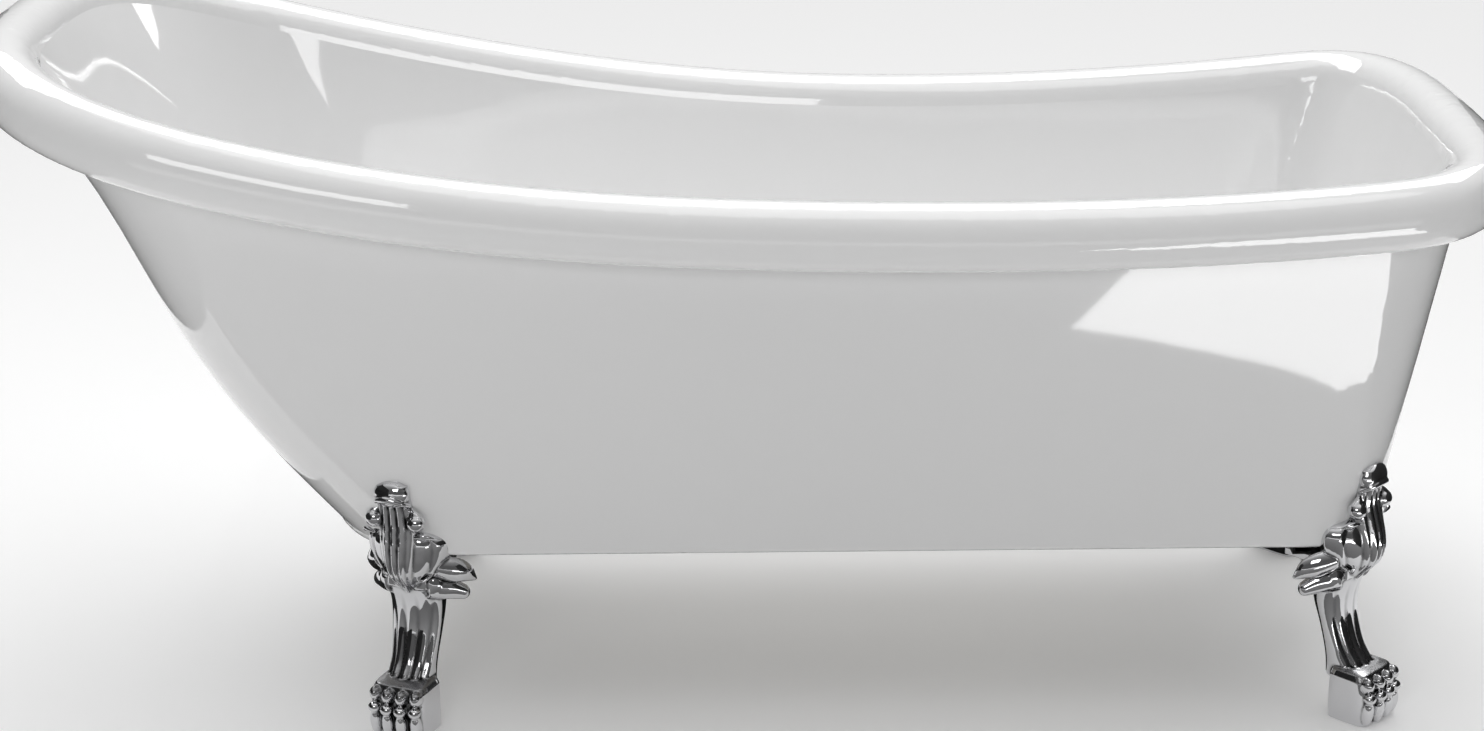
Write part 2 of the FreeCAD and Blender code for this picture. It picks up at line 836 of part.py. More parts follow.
# Up the shank: (share of the way from the paw to the bath's edge, middle, share of the depth,
# share of the width, how deep the flutes are)
SHANK_FORM = (
    (-0.08, 4, 1.35, 1.00, 0.0),
    (0.17, -5, 1.06, 0.95, 0.10),
    (0.41, -14, 0.95, 1.08, 0.12),
    (0.69, -20, 1.12, 1.16, 0.10),
    (0.87, -14, 1.40, 1.25, 0.04),
    (0.99, -8, 1.50, 1.20, 0.0),
)
SHANK_SQUARENESS = 2.4
# Up the leaf: (share of its height, share of its bulge, share of its width)
LEAF_FORM = (
    (0.0, 0.1, 0.28),
    (0.12, 0.45, 0.66),
    (0.28, 0.86, 0.94),
    (0.45, 1.0, 1.0),
    (0.60, 0.9, 0.86),
    (0.72, 0.7, 0.56),
    (0.86, 0.55, 0.44),
    (0.97, 0.5, 0.36),
)
LEAF_SQUARENESS = 2.2
# The two lobes of each wing, root then tip: (out, share of the reach, below the bath's edge, radius)
WING_FORM = (
    ((-14, 0.36, 26, 18), (-38, 0.94, 31, 4)),
    ((-14, 0.36, 34, 15), (-32, 0.80, 48, 7)),
)
# Up the paw: (share of its height, share of its length, share of its width, squareness)
PAW_FORM = ((0.0, 1.0, 1.0, 5), (0.5, 1.02, 1.02, 5), (1.0, 0.92, 0.94, 4))
# A toe's balls, from the knuckle down: (share of the paw's height, out, share of the toe's radius)
TOE_FORM = ((0.78, -6, 1.0), (0.5, 0, 0.92), (0.22, 1, 0.8))
TOES = (-1.5, -0.5, 0.5, 1.5)


def oval(centre, depth, width, height, square=2.0, flutes=0.0, count=40):
    """A level closed curve, squarish if square is above 2, with four hollows down its front."""
    points = []
    for step in range(count):
        turn = 2 * math.pi * step / count
        cosine, sine = math.cos(turn), math.sin(turn)
        reach = (abs(cosine) ** square + abs(sine) ** square) ** (-1 / square)
        if cosine > 0:
            reach *= 1 - flutes * cosine * (1 - math.cos(8 * turn)) / 2
        points.append(Vector(centre + depth / 2 * reach * cosine, width / 2 * reach * sine, height))
    return points


def column(sections):
    """A solid through level closed curves, flat at both ends."""
    ends = [Part.Face(ring(sections[0])), Part.Face(ring(sections[-1]))]
    return closed_solid(skin(sections) + ends)


def blob(centre, radii):
    """An egg shape with three radii."""
    scale = FreeCAD.Matrix()
    scale.scale(*radii)
    egg = Part.makeSphere(1).transformGeometry(scale)
    egg.Placement = Placement(centre, Rotation())
    return egg


def horn(start, end, start_radius, end_radius):
    """A tapering arm with round ends."""
    along = end - start
    arm = Part.makeCone(start_radius, end_radius, along.Length, start, along)
    return [arm, Part.makeSphere(end_radius, end), Part.makeSphere(start_radius, start)]


def foot_shank():
    width, depth = mm("shank_width"), mm("shank_depth")
    low, high = mm("paw_height"), mm("base_height")
    sections = []
    for share, middle, deep, broad, flutes in SHANK_FORM:
        height = low + (high - low) * share
        sections.append(oval(middle, depth * deep, width * broad, height, SHANK_SQUARENESS, flutes))
    return column(sections)


def skirt_lean_at(end, height):
    """How far the skirt stands out beyond its edge, straight ahead of a claw foot, at a height."""
    x, y, facing = place_on_edge(end, "left")
    turn = math.radians(facing)
    out, across = Vector(math.cos(turn), math.sin(turn), 0), Vector(-math.sin(turn), math.cos(turn), 0)
    share = (height - fold_top) / (rim_height(x) - mm("roll_radius") - fold_top)
    if share <= 0:
        return 0.0
    curved = share * SKIRT_LEAN[1][1] / SKIRT_LEAN[1][0]
    level = skirt_ring(share, share, curved, 0, fold_top)
    offsets = [Vector(p.x - x, p.y - y, 0) for p in level if p.y > 0]
    spots = [(offset.dot(out), offset.dot(across)) for offset in offsets]
    for (near, low), (far, high) in zip(spots, spots[1:]):
        if low * high <= 0 and near > -mm("tongue_length"):
            return near + (far - near) * low / (low - high)
    raise RuntimeError(f"the skirt is not ahead of the {end} foot at {height} mm")


def foot_leaf(end):
    """The acanthus leaf that stands up against the skirt, with its curled tip."""
    foot_z = mm("base_height") - mm("leaf_root_drop")
    rise = mm("leaf_top") - foot_z
    bulge, width, into_skirt = mm("leaf_bulge"), mm("leaf_width"), mm("leaf_into_skirt")
    sections = []
    for share, front, breadth in LEAF_FORM:
        height = foot_z + rise * share
        lean = skirt_lean_at(end, height)
        reach, back = lean + bulge * front, lean - into_skirt
        sections.append(oval((reach + back) / 2, reach - back, width * breadth, height, LEAF_SQUARENESS))
    depth, half_width, half_height = mm("tip_depth"), mm("tip_width") / 2, mm("tip_height") / 2
    tip_z = mm("leaf_top") - half_height
    centre = Vector(skirt_lean_at(end, tip_z) + mm("tip_out"), 0, tip_z)
    return [column(sections), blob(centre, (depth / 2, half_width, half_height))]


def foot_wings(end):
    """Two lobes each side that sweep back under the edge of the bath, and the balls of the scrolls."""
    reach, level = mm("wing_reach"), mm("base_height")
    volute_z = mm("leaf_top") - mm("volute_drop")
    pieces = []
    for side in (-1, 1):
        for root, tip in WING_FORM:
            start, finish = (
                Vector(out, side * reach * share, level - drop) for out, share, drop, _ in (root, tip)
            )
            pieces += horn(start, finish, root[3], tip[3])
        out = skirt_lean_at(end, volute_z) + mm("volute_out")
        centre = Vector(out, side * mm("volute_side"), volute_z)
        pieces.append(Part.makeSphere(mm("volute_radius"), centre))
    return pieces


def foot_paw():
    length, width, height = mm("paw_length"), mm("paw_width"), mm("paw_height")
    middle = foot_level_x()
    pieces = [
        column(
            [
                oval(middle, length * deep, width * broad, height * share, square)
                for share, deep, broad, square in PAW_FORM
            ]
        )
    ]
    front = middle + length / 2
    for place in TOES:
        back = 1.5 * place**2
        for share, out, size in TOE_FORM:
            centre = Vector(front + out - back, place * width / 4, height * share)
            pieces.append(Part.makeSphere(mm("toe_radius") * size, centre))
        claw = mm("toe_radius") * TOE_FORM[-1][2]
        pieces.append(Part.makeCone(claw * 0.6, claw, centre.z, centre - UP * centre.z))
    return pieces


def foot_mounting():
    """The ledge under the bath's edge and the tongue that bolts under the cross rail."""
    level, depth, width = mm("base_height"), mm("ledge_depth"), mm("tongue_width")
    overlap = 4
    ledge_width, ledge_height = mm("ledge_width"), mm("ledge_height")
    corner = Vector(-depth, -ledge_width / 2, level - ledge_height)
    ledge = Part.makeBox(depth + overlap, ledge_width, ledge_height, corner)
    length = mm("tongue_length") - depth - overlap
    corner = Vector(-mm("tongue_length"), -width / 2, float(tongue_z))
    return [ledge, Part.makeBox(length, width, mm("tongue_thickness"), corner)]


def foot_casting(end):
    """One foot as cast, with its bolt hole, the bore for the leveller and the hollow under the paw."""
    paw = foot_paw()
    leaf = foot_leaf(end)
    wings = foot_wings(end)
    shank = foot_shank().fuse(foot_mounting())
    solid = shank.fuse([paw[0].fuse(paw[1:]), leaf[0].fuse(leaf[1:]), wings[0].fuse(wings[1:])])
    span = 2 * mm("leaf_top")
    below = Part.makeBox(span, span, span, Vector(-span / 2, -span / 2, -span))
    hole = mm("bolt_radius") + mm("bolt_hole_clearance")
    axis = foot_level_x()
    recess = Part.makeCylinder(mm("paw_recess_radius"), mm("paw_recess_height"), Vector(axis, 0, 0))
    bore_top = mm("pad_thickness") + mm("stud_length") + 2 * mm("seat_gap") + 1
    bore = Part.makeCylinder(mm("stud_radius") + mm("seat_gap"), bore_top, Vector(axis, 0, 0))
    margin = mm("tongue_thickness")
    start = Vector(-mm("bolt_inset"), 0, float(tongue_z) - margin)
    bolt = Part.makeCylinder(hole, 3 * margin, start)
    return solid.cut([below, recess, bore, bolt])


def foot_level_x():
    """How far out from the skirt's edge the leveller stands: the middle of the paw."""
    return mm("paw_length") / 2 - mm("heel_inset")


def rail_space(end):
    """The cross rail's space down to its underside, which the foot's tongue touches."""
    gap = mm("rail_clearance")
    width, length = mm("rail_width") + 2 * gap, mm("rail_length") + 2 * gap
    corner = Vector(rail_x[end] - width / 2, -length / 2, float(rail_z))
    return Part.makeBox(width, length, mm("rail_height") + gap, corner)


for end in ENDS:
    casting = foot_casting(end)
    for side in SIDES:
        x, y, facing = place_on_edge(end, side)
        foot = casting.copy()
        foot.Placement = Placement(Vector(x, y, 0), Rotation(UP, facing))
        skirt_space = skirt_near((x, y), mm("skirt_cut_reach"), mm("foot_clearance"))
        foot = foot.cut([*skirt_space, rail_space(end)])
        solid_feature(f"claw_foot_{end}_{side}", max(foot.Solids, key=lambda piece: piece.Volume))


# ---------------------------------------------------------------- fasteners


bolt_spots = [(fixed(place.x), fixed(place.y)) for place in bolt_places.values()]
head_z = tongue_z - cell("washer_thickness") - cell("bolt_head_height")
bolt_length = (
    cell("washer_thickness")
    + cell("tongue_thickness")
    + cell("rail_wall")
    + cell("nut_height")
    + cell("bolt_end")
)
bolts, washers, nuts = [], [], []
for x, y in bolt_spots:
    head = hexagon(cell("bolt_head_flats"), cell("bolt_head_height"), x, y, head_z)
    stem = cylinder(cell("bolt_radius"), bolt_length, x, y, head_z + cell("bolt_head_height"))
    bolts.append(fuse(head, stem))
    bore = cell("bolt_radius") + cell("seat_gap")
    washer_z = tongue_z - cell("washer_thickness")
    disc = cylinder(cell("washer_radius"), cell("washer_thickness"), x, y, washer_z)
    washers.append(cut(disc, cylinder(bore, cell("washer_thickness"), x, y, washer_z)))
    nut_z = rail_z + cell("rail_wall")
    nut = hexagon(cell("bolt_head_flats"), cell("nut_height"), x, y, nut_z)
    nuts.append(cut(nut, cylinder(bore, cell("nut_height"), x, y, nut_z)))
group(bolts, "foot_bolts")
group(washers, "foot_washers")
group(nuts, "foot_nuts")

screws = []
for x, y in screw_places:
    head_under = rail_z - cell("screw_head_height")
    head = cylinder(cell("screw_head_radius"), cell("screw_head_height"), fixed(x), fixed(y), head_under)
    length = cell("rail_height") + cell("screw_depth")
    screws.append(fuse(head, cylinder(cell("screw_radius"), length, fixed(x), fixed(y), rail_z)))
group(screws, "rail_screws")

# ---------------------------------------------------------------- levellers

pad_top = cell("pad_thickness") + cell("pad_boss_height")
socket = cell("stud_radius") + cell("seat_gap")
hex_z = pad_top + cell("seat_gap") * 2
for end, side in FEET:
    spot = foot_point(end, side, foot_level_x())
    x, y = fixed(spot.x), fixed(spot.y)
    turned(
        f"leveller_pad_{end}_{side}",
        [
            (ZERO, ZERO),
            (cell("pad_radius"), ZERO),
            (cell("pad_radius"), cell("pad_thickness")),
            (cell("pad_boss_radius"), cell("pad_thickness")),
            (cell("pad_boss_radius"), pad_top),
            (socket, pad_top),
            (socket, cell("pad_thickness")),
            (ZERO, cell("pad_thickness")),
        ],
        x,
        y,
    )
    stud_z = cell("pad_thickness") + cell("seat_gap")
    stud = cylinder(cell("stud_radius"), cell("stud_length"), x, y, stud_z)
    collar = hexagon(cell("stud_flats"), cell("stud_hex_height"), x, y, hex_z)
    keep(fuse(stud, collar), f"leveller_stud_{end}_{side}")

# ---------------------------------------------------------------- drain

drain_x = cell("drain_x")
flange_top = floor_z + cell("drain_flange_height")
thread = cell("drain_thread_radius")
bore = cell("drain_bore_radius")
thread_length = cell("drain_thread_length")
flange_radius = cell("drain_flange_radius")
flange_height = cell("drain_flange_height")
turned(
    "drain_flange",
    [
        (bore, ZERO),
        (thread, ZERO),
        (thread, thread_length),
        (flange_radius, thread_length),
        (flange_radius, thread_length + flange_height / 3),
        (flange_radius - flange_height, thread_length + flange_height),
        (bore, thread_length + flange_height),
    ],
    x=drain_x,
    z=floor_z - thread_length,
)
gasket_z = basin_back_z - cell("washer_seal_thickness")
turned(
    "drain_gasket",
    [
        (thread + cell("seat_gap"), ZERO),
        (cell("drain_flange_radius"), ZERO),
        (cell("drain_flange_radius"), cell("washer_seal_thickness")),
        (thread + cell("seat_gap"), cell("washer_seal_thickness")),
    ],
    x=drain_x,
    z=gasket_z,
)

# The shoe is a deep cup screwed up on to the flange's thread, with its outlet to the side.
cup_inner = thread + cell("seat_gap")
cup_outer = cup_inner + cell("socket_wall")
pipe_outer = cell("pipe_radius")
pipe_inner = pipe_outer - cell("pipe_wall")
hub_inner = pipe_outer + cell("seat_gap")
hub_outer = hub_inner + cell("socket_wall")
cup_z = cell("waste_height") - hub_outer
ALONG_X = Rotation(Vector(0, 1, 0), 90)
outlet_length = cup_outer + cell("socket_depth")
cup = cylinder(cup_outer, gasket_z - cup_z, drain_x, ZERO, cup_z)
brim_z = gasket_z - cell("socket_wall")
brim = cylinder(flange_radius, cell("socket_wall"), drain_x, ZERO, brim_z)
outlet = cylinder(hub_outer, outlet_length, drain_x, ZERO, cell("waste_height"), ALONG_X)
hollow = cylinder(cup_inner, gasket_z - cup_z, drain_x, ZERO, cup_z + cell("socket_wall"))
outlet_way = cylinder(hub_inner, outlet_length, drain_x, ZERO, cell("waste_height"), ALONG_X)
keep(cut(fuse(cup, brim, outlet), fuse(hollow, outlet_way)), "drain_shoe")

# Across the flange's bore lies a bridge with a hub, which guides the stopper's stem.
guide_z = floor_z - cell("stem_length") / 2
guide_height = cell("guide_height")
bar_width = cell("guide_bar")
bar_length = (bore - cell("seat_gap")) * 2
hub = cylinder(cell("guide_hub_radius"), guide_height, drain_x, ZERO, guide_z)
bars = [
    block(bar_length, bar_width, guide_height, drain_x - bar_length / 2, ZERO, guide_z),
    block(bar_width, bar_length, guide_height, drain_x - bar_width / 2, ZERO, guide_z),
]
stem_way = cell("stem_radius") + cell("seat_gap")
keep(cut(fuse(hub, *bars), cylinder(stem_way, guide_height, drain_x, ZERO, guide_z)), "stem_guide")

seal_z = flange_top + cell("seat_gap")
cap_z = seal_z + cell("seal_thickness")
turned(
    "stopper_seal",
    [
        (stem_way, ZERO),
        (cell("stopper_radius") - cell("seal_inset"), ZERO),
        (cell("stopper_radius") - cell("seal_inset"), cell("seal_thickness")),
        (stem_way, cell("seal_thickness")),
    ],
    x=drain_x,
    z=seal_z,
)
turned(
    "stopper_cap",
    [
        (ZERO, ZERO),
        (cell("stopper_radius"), ZERO),
        (cell("stopper_radius"), cell("stopper_height") / 3),
        (cell("stopper_radius") * 0.85, cell("stopper_height") * 0.75),
        (cell("stopper_radius") * 0.5, cell("stopper_height") * 0.95),
        (ZERO, cell("stopper_height")),
    ],
    x=drain_x,
    z=cap_z,
)
stem_z = cap_z - cell("stem_length")
stem = cylinder(cell("stem_radius"), cell("stem_length"), drain_x, ZERO, stem_z)
keep(stem, "stopper_stem")

# ---------------------------------------------------------------- overflow
# Everything at the overflow is square to the basin's sloping drain-end wall.

GRILLE_HOLES = 8
SQUARE_TO_WALL = Rotation(Vector(0, 0, 1), wall_out)


def beyond_wall(distance, down=0.0):
    """A point on the overflow's axis: distance is outwards from the basin's inner face."""
    point = overflow_spot + wall_out * distance - wall_up * down
    return fixed(point.x), ZERO, fixed(point.z)


screw_bore = cell("screw_radius") + cell("seat_gap")
cover_radius = cell("overflow_cover_radius")
cover_height = cell("overflow_cover_height")
cover_front = -mm("overflow_cover_height") - 2 * mm("seat_gap")
cover = turned(
    "overflow_cover",
    [
        (screw_bore, ZERO),
        (cover_radius * 0.8, ZERO),
        (cover_radius, cover_height / 2),
        (cover_radius, cover_height),
        (cover_radius * 0.88, cover_height),
        (cover_radius * 0.75, cover_height / 2),
        (screw_bore, cover_height / 2),
    ],
    *beyond_wall(cover_front),
    rotation=SQUARE_TO_WALL,
)
grille = sketch_on(cover, "XY_Plane")
spread = cell("grille_spread")
for step in range(GRILLE_HOLES):
    turn = 2 * math.pi * step / GRILLE_HOLES
    across, along = round(math.cos(turn), 6), round(math.sin(turn), 6)
    circle(grille, cell("grille_hole_radius"), spread * across, spread * along)
grille_holes = cover.newObject("PartDesign::Pocket", "grille_holes")
grille_holes.Profile = grille
grille_holes.Type = "ThroughAll"
grille_holes.Reversed = True
cover.Tip = grille_holes

gasket_front = wall_depth + mm("seat_gap")
body_front = gasket_front + mm("washer_seal_thickness")
turned(
    "overflow_gasket",
    [
        (cell("overflow_hole_radius"), ZERO),
        (cell("overflow_body_radius"), ZERO),
        (cell("overflow_body_radius"), cell("washer_seal_thickness")),
        (cell("overflow_hole_radius"), cell("washer_seal_thickness")),
    ],
    *beyond_wall(gasket_front),
    rotation=SQUARE_TO_WALL,
)


def across_wall(radius, depth, distance):
    """A round bar square to the wall, starting so far beyond the basin's inner face."""
    return cylinder(radius, depth, *beyond_wall(distance), rotation=SQUARE_TO_WALL)


# The elbow is a shallow pot behind the wall with a spigot out of its lower side for the hose.
DOWN_WALL = Rotation(Vector(0, 0, 1), -wall_up)
body_depth = cell("overflow_body_depth")
body_radius = cell("overflow_body_radius")
middle = body_front + mm("overflow_body_depth") / 2
spigot_radius = cell("hose_radius") - cell("hose_wall") - cell("seat_gap")
spigot_length = body_radius + cell("socket_depth")
pot = across_wall(body_radius, body_depth, body_front)
pot_way = across_wall(cell("overflow_hole_radius"), body_depth - cell("socket_wall"), body_front)
spigot = cylinder(spigot_radius, spigot_length, *beyond_wall(middle), rotation=DOWN_WALL)
spigot_way = cylinder(
    spigot_radius - cell("pipe_wall"), spigot_length, *beyond_wall(middle), rotation=DOWN_WALL
)
hollow_pot = cut(fuse(pot, spigot), fuse(pot_way, spigot_way))
post = across_wall(cell("screw_radius") + cell("socket_wall"), body_depth, body_front)
tapping = across_wall(screw_bore, body_depth - cell("pipe_wall"), body_front)
keep(cut(fuse(hollow_pot, post), tapping), "overflow_elbow")

screw_reach = body_front + mm("overflow_body_depth") * 0.7 - cover_front
screw_head = across_wall(
    cell("screw_head_radius"), cell("screw_head_height"), cover_front - mm("screw_head_height")
)
screw_stem = across_wall(cell("screw_radius"), fixed(screw_reach), cover_front)
keep(fuse(screw_head, screw_stem), "overflow_screw")

# ---------------------------------------------------------------- hose and waste pipe

tee_x = cell("tee_x")
waste_z = cell("waste_height")
depth = cell("socket_depth")
tee_low = waste_z - hub_outer - depth
neck_z = waste_z + hub_outer
neck_radius = cell("hose_radius") + cell("seat_gap") + cell("socket_wall")
shoe_mouth = drain_x + outlet_length
branch_mouth = tee_x - hub_outer - depth


def make_hose():
    """The overflow's hose: down beside the basin's end wall, round a bend and upright into the tee."""
    start_x, _, start_z = (float(part) for part in beyond_wall(middle, mm("overflow_body_radius") + 1))
    start = Vector(start_x, 0, start_z)
    corner = Vector(mm("tee_x"), 0, float(board_z))
    end = Vector(mm("tee_x"), 0, float(neck_z) + 1)
    incoming = (corner - start).normalize()
    half_turn = incoming.getAngle(-UP) / 2
    setback = mm("hose_bend") * math.tan(half_turn)
    arc_start = corner - incoming * setback
    arc_end = corner - UP * setback
    towards_centre = ((arc_start - corner) + (arc_end - corner)).normalize()
    centre = corner + towards_centre * (mm("hose_bend") / math.cos(half_turn))
    on_arc = centre - towards_centre * mm("hose_bend")
    path = Part.Wire(
        [
            Part.makeLine(start, arc_start),
            Part.Arc(arc_start, on_arc, arc_end).toShape(),
            Part.makeLine(arc_end, end),
        ]
    )
    tubes = []
    for radius in (mm("hose_radius"), mm("hose_radius") - mm("hose_wall")):
        section = Part.Wire(Part.Circle(start, incoming, radius).toShape())
        tubes.append(path.makePipeShell([section], True, False))
    return tubes[0].cut(tubes[1])


solid_feature("overflow_hose", make_hose())

run = cylinder(hub_outer, neck_z - tee_low, tee_x, ZERO, tee_low)
neck = cylinder(neck_radius, neck_z - tee_low + depth, tee_x, ZERO, tee_low)
branch = cylinder(hub_outer, tee_x - branch_mouth, branch_mouth, ZERO, waste_z, ALONG_X)
run_way = cylinder(hub_inner, neck_z - tee_low - cell("socket_wall"), tee_x, ZERO, tee_low)
neck_way = cylinder(neck_radius - cell("socket_wall"), neck_z - tee_low + depth, tee_x, ZERO, tee_low)
branch_way = cylinder(hub_inner, tee_x - branch_mouth, branch_mouth, ZERO, waste_z, ALONG_X)
keep(cut(fuse(run, neck, branch), fuse(run_way, neck_way, branch_way)), "waste_tee")

cross_start = shoe_mouth - depth + 1
cross_length = branch_mouth + depth - 1 - cross_start
cross_wall = cylinder(pipe_outer, cross_length, cross_start, ZERO, waste_z, ALONG_X)
cross_bore = cylinder(pipe_inner, cross_length, cross_start, ZERO, waste_z, ALONG_X)
keep(cut(cross_wall, cross_bore), "cross_pipe")

tail_z = cell("tailpiece_bottom")
tail_length = tee_low + depth - 1 - tail_z
bead_start = cell("tailpiece_free")
bead = cell("tailpiece_bead")
turned(
    "tailpiece",
    [
        (pipe_inner, ZERO),
        (pipe_outer, ZERO),
        (pipe_outer, bead_start),
        (pipe_outer + bead, bead_start + bead),
        (pipe_outer, bead_start + bead * 2),
        (pipe_outer, tail_length),
        (pipe_inner, tail_length),
    ],
    x=tee_x,
    z=tail_z,
)


nut_lip = cell("slip_nut_wall")


def slip_nut(x, z, rotation):
    """A round nut screwed over a hub's mouth, closed down to the pipe; it starts at the pipe's side."""
    height = cell("slip_nut_height")
    ring_nut = cylinder(hub_outer + nut_lip, height, x, ZERO, z, rotation)
    pipe_way = cylinder(hub_inner, height, x, ZERO, z, rotation)
    start = rotation.multVec(UP) * float(nut_lip)
    hub_x, hub_z = x + round(start.x, 3), z + round(start.z, 3)
    hub_way = cylinder(hub_outer + cell("seat_gap"), height - nut_lip, hub_x, ZERO, hub_z, rotation)
    return cut(ring_nut, fuse(pipe_way, hub_way))


group(
    [
        slip_nut(shoe_mouth + nut_lip, waste_z, Rotation(Vector(0, 1, 0), -90)),
        slip_nut(branch_mouth - nut_lip, waste_z, ALONG_X),
        slip_nut(tee_x, tee_low - nut_lip, Rotation()),
    ],
    "slip_nuts",
)

# ---------------------------------------------------------------- checks and files

doc.recompute()
for thing in doc.Objects:
    if {"Invalid", "Error"} & set(thing.State):
        raise RuntimeError(f"{thing.Name} in the document did not recompute: {thing.State}")
for piece in subparts:
    if piece.Shape.isNull() or not piece.Shape.isValid():
        raise RuntimeError(f"{piece.Label} has no valid shape")
for piece in subparts:
    piece.Shape.exportStep(f"parts/{piece.Label}.step")
    print(f"{piece.Label}: {len(piece.Shape.Solids)} solids, {piece.Shape.Volume / 1000:.1f} cm3")
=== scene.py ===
"""Clawfoot slipper bath: finishes, cast feet, studio and camera, in metres in the part's frame."""

import json
import logging
import math
from dataclasses import dataclass, field
from enum import Enum
from typing import ClassVar, Sequence

import bmesh
import bpy
import numpy as np
from mathutils import Matrix, Vector


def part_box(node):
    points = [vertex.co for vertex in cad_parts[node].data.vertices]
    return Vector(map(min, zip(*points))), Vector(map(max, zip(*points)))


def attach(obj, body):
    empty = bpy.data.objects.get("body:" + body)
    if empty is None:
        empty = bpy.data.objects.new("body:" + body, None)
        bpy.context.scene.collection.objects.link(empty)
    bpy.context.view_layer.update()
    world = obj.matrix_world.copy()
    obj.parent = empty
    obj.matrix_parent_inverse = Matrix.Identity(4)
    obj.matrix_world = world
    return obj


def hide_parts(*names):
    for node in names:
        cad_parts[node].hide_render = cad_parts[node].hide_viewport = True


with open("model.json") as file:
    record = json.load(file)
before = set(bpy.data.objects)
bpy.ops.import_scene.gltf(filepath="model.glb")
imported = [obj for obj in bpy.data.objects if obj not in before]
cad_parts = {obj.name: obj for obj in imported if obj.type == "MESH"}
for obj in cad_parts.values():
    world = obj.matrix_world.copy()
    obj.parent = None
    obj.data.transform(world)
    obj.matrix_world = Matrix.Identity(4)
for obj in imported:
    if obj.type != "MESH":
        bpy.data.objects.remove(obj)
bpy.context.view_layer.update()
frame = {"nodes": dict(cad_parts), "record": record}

log = logging.getLogger("bath")
MM = 0.001


class Slot(str, Enum):
    """The record's material slots."""

    ACRYLIC = "acrylic"
    PLYWOOD = "plywood"
    BLACK_STEEL = "black_steel"
    CHROME = "chrome"
    ZINC = "zinc_steel"
    NYLON = "nylon"
    RUBBER = "rubber"
    PIPE = "pipe_plastic"
    HOSE = "hose_plastic"


# ---------------------------------------------------------------- shader helpers


def linear(code: str) -> tuple[float, float, float, float]:
    """Turns an sRGB hex colour into linear light.

    Args:
        code: six hex digits, such as "f2f1ee".

    Returns:
        Red, green, blue and an alpha of 1.
    """
    parts = [int(code[i : i + 2], 16) / 255 for i in (0, 2, 4)]
    light = [part / 12.92 if part <= 0.04045 else ((part + 0.055) / 1.055) ** 2.4 for part in parts]
    return (*light, 1.0)


def add_node(
    tree: bpy.types.NodeTree, kind: str, values: dict | None = None, links: dict | None = None
) -> bpy.types.Node:
    """Adds a node with its settings and incoming links.

    Args:
        tree: the node tree.
        kind: the node's Blender type name.
        values: properties and input sockets by name or number.
        links: output sockets by input name or number.

    Returns:
        The new node.
    """
    node = tree.nodes.new(kind)
    for name, value in (values or {}).items():
        if isinstance(name, str) and name not in node.inputs.keys() and hasattr(node, name):
            setattr(node, name, value)
        else:
            node.inputs[name].default_value = value
    for name, source in (links or {}).items():
        tree.links.new(source, node.inputs[name])
    return node


# ---------------------------------------------------------------- finishes


@dataclass(frozen=True)
class Finish:
    """One real material: a Principled shader and the fine detail that a subclass adds.

    Attributes:
        name: the real material's name.
        colour: sRGB hex of a clean, flat patch of it.
        roughness: 0 mirrors, 1 is chalk.
        metallic: 1 for bare metal.
        ior: refractive index of anything but metal.
        coat: weight of a clear gloss over it.
    """

    name: str
    colour: str
    roughness: float
    metallic: float = 0.0
    ior: float = 1.5
    coat: float = 0.0

    def material(self) -> bpy.types.Material:
        """Builds the material.

        Returns:
            A new node-based material.
        """
        made = bpy.data.materials.new(self.name)
        made.use_nodes = True
        tree = made.node_tree
        tree.nodes.clear()
        values = {
            "Base Color": linear(self.colour),
            "Roughness": self.roughness,
            "Metallic": self.metallic,
            "Coat Weight": self.coat,
        }
        if not self.metallic:
            values["IOR"] = self.ior
        shader = add_node(tree, "ShaderNodeBsdfPrincipled", values)
        add_node(tree, "ShaderNodeOutputMaterial", links={"Surface": shader.outputs["BSDF"]})
        place = add_node(tree, "ShaderNodeTexCoord").outputs["Object"]
        self.detail(tree, shader, place)
        log.info("finish %s", self.name)
        return made

    def detail(
        self, tree: bpy.types.NodeTree, shader: bpy.types.Node, place: bpy.types.NodeSocket
    ) -> None:
        """Adds what the eye finds close up. Subclasses override it.

        Args:
            tree: the material's node tree.
            shader: its Principled node.
            place: Object coordinates, in metres.
        """
        # a moulded or plated face is faintly uneven, which breaks up and dulls highlights in spots
        grain_mm, rough, height_mm, shade = 3.0, 0.04, 0.02, 0.04
        scale = {"Scale": 1 / (grain_mm * MM), "Detail": 3.0}
        grain = add_node(tree, "ShaderNodeTexNoise", scale, {"Vector": place}).outputs["Fac"]
        spread = add_node(
            tree,
            "ShaderNodeMapRange",
            {"To Min": max(self.roughness - rough, 0.0), "To Max": self.roughness + rough},
            {"Value": grain},
        )
        tree.links.new(spread.outputs["Result"], shader.inputs["Roughness"])
        bump = add_node(
            tree, "ShaderNodeBump", {"Distance": height_mm * MM, "Strength": 1.0}, {"Height": grain}
        )
        tree.links.new(bump.outputs["Normal"], shader.inputs["Normal"])
        base = Vector(linear(self.colour)[:3])
        tone = add_node(
            tree,
            "ShaderNodeMix",
            {"data_type": "RGBA", 6: (*(base * (1 - shade)), 1.0), 7: (*base, 1.0)},
            {0: grain},
        )
        tree.links.new(tone.outputs[2], shader.inputs["Base Color"])


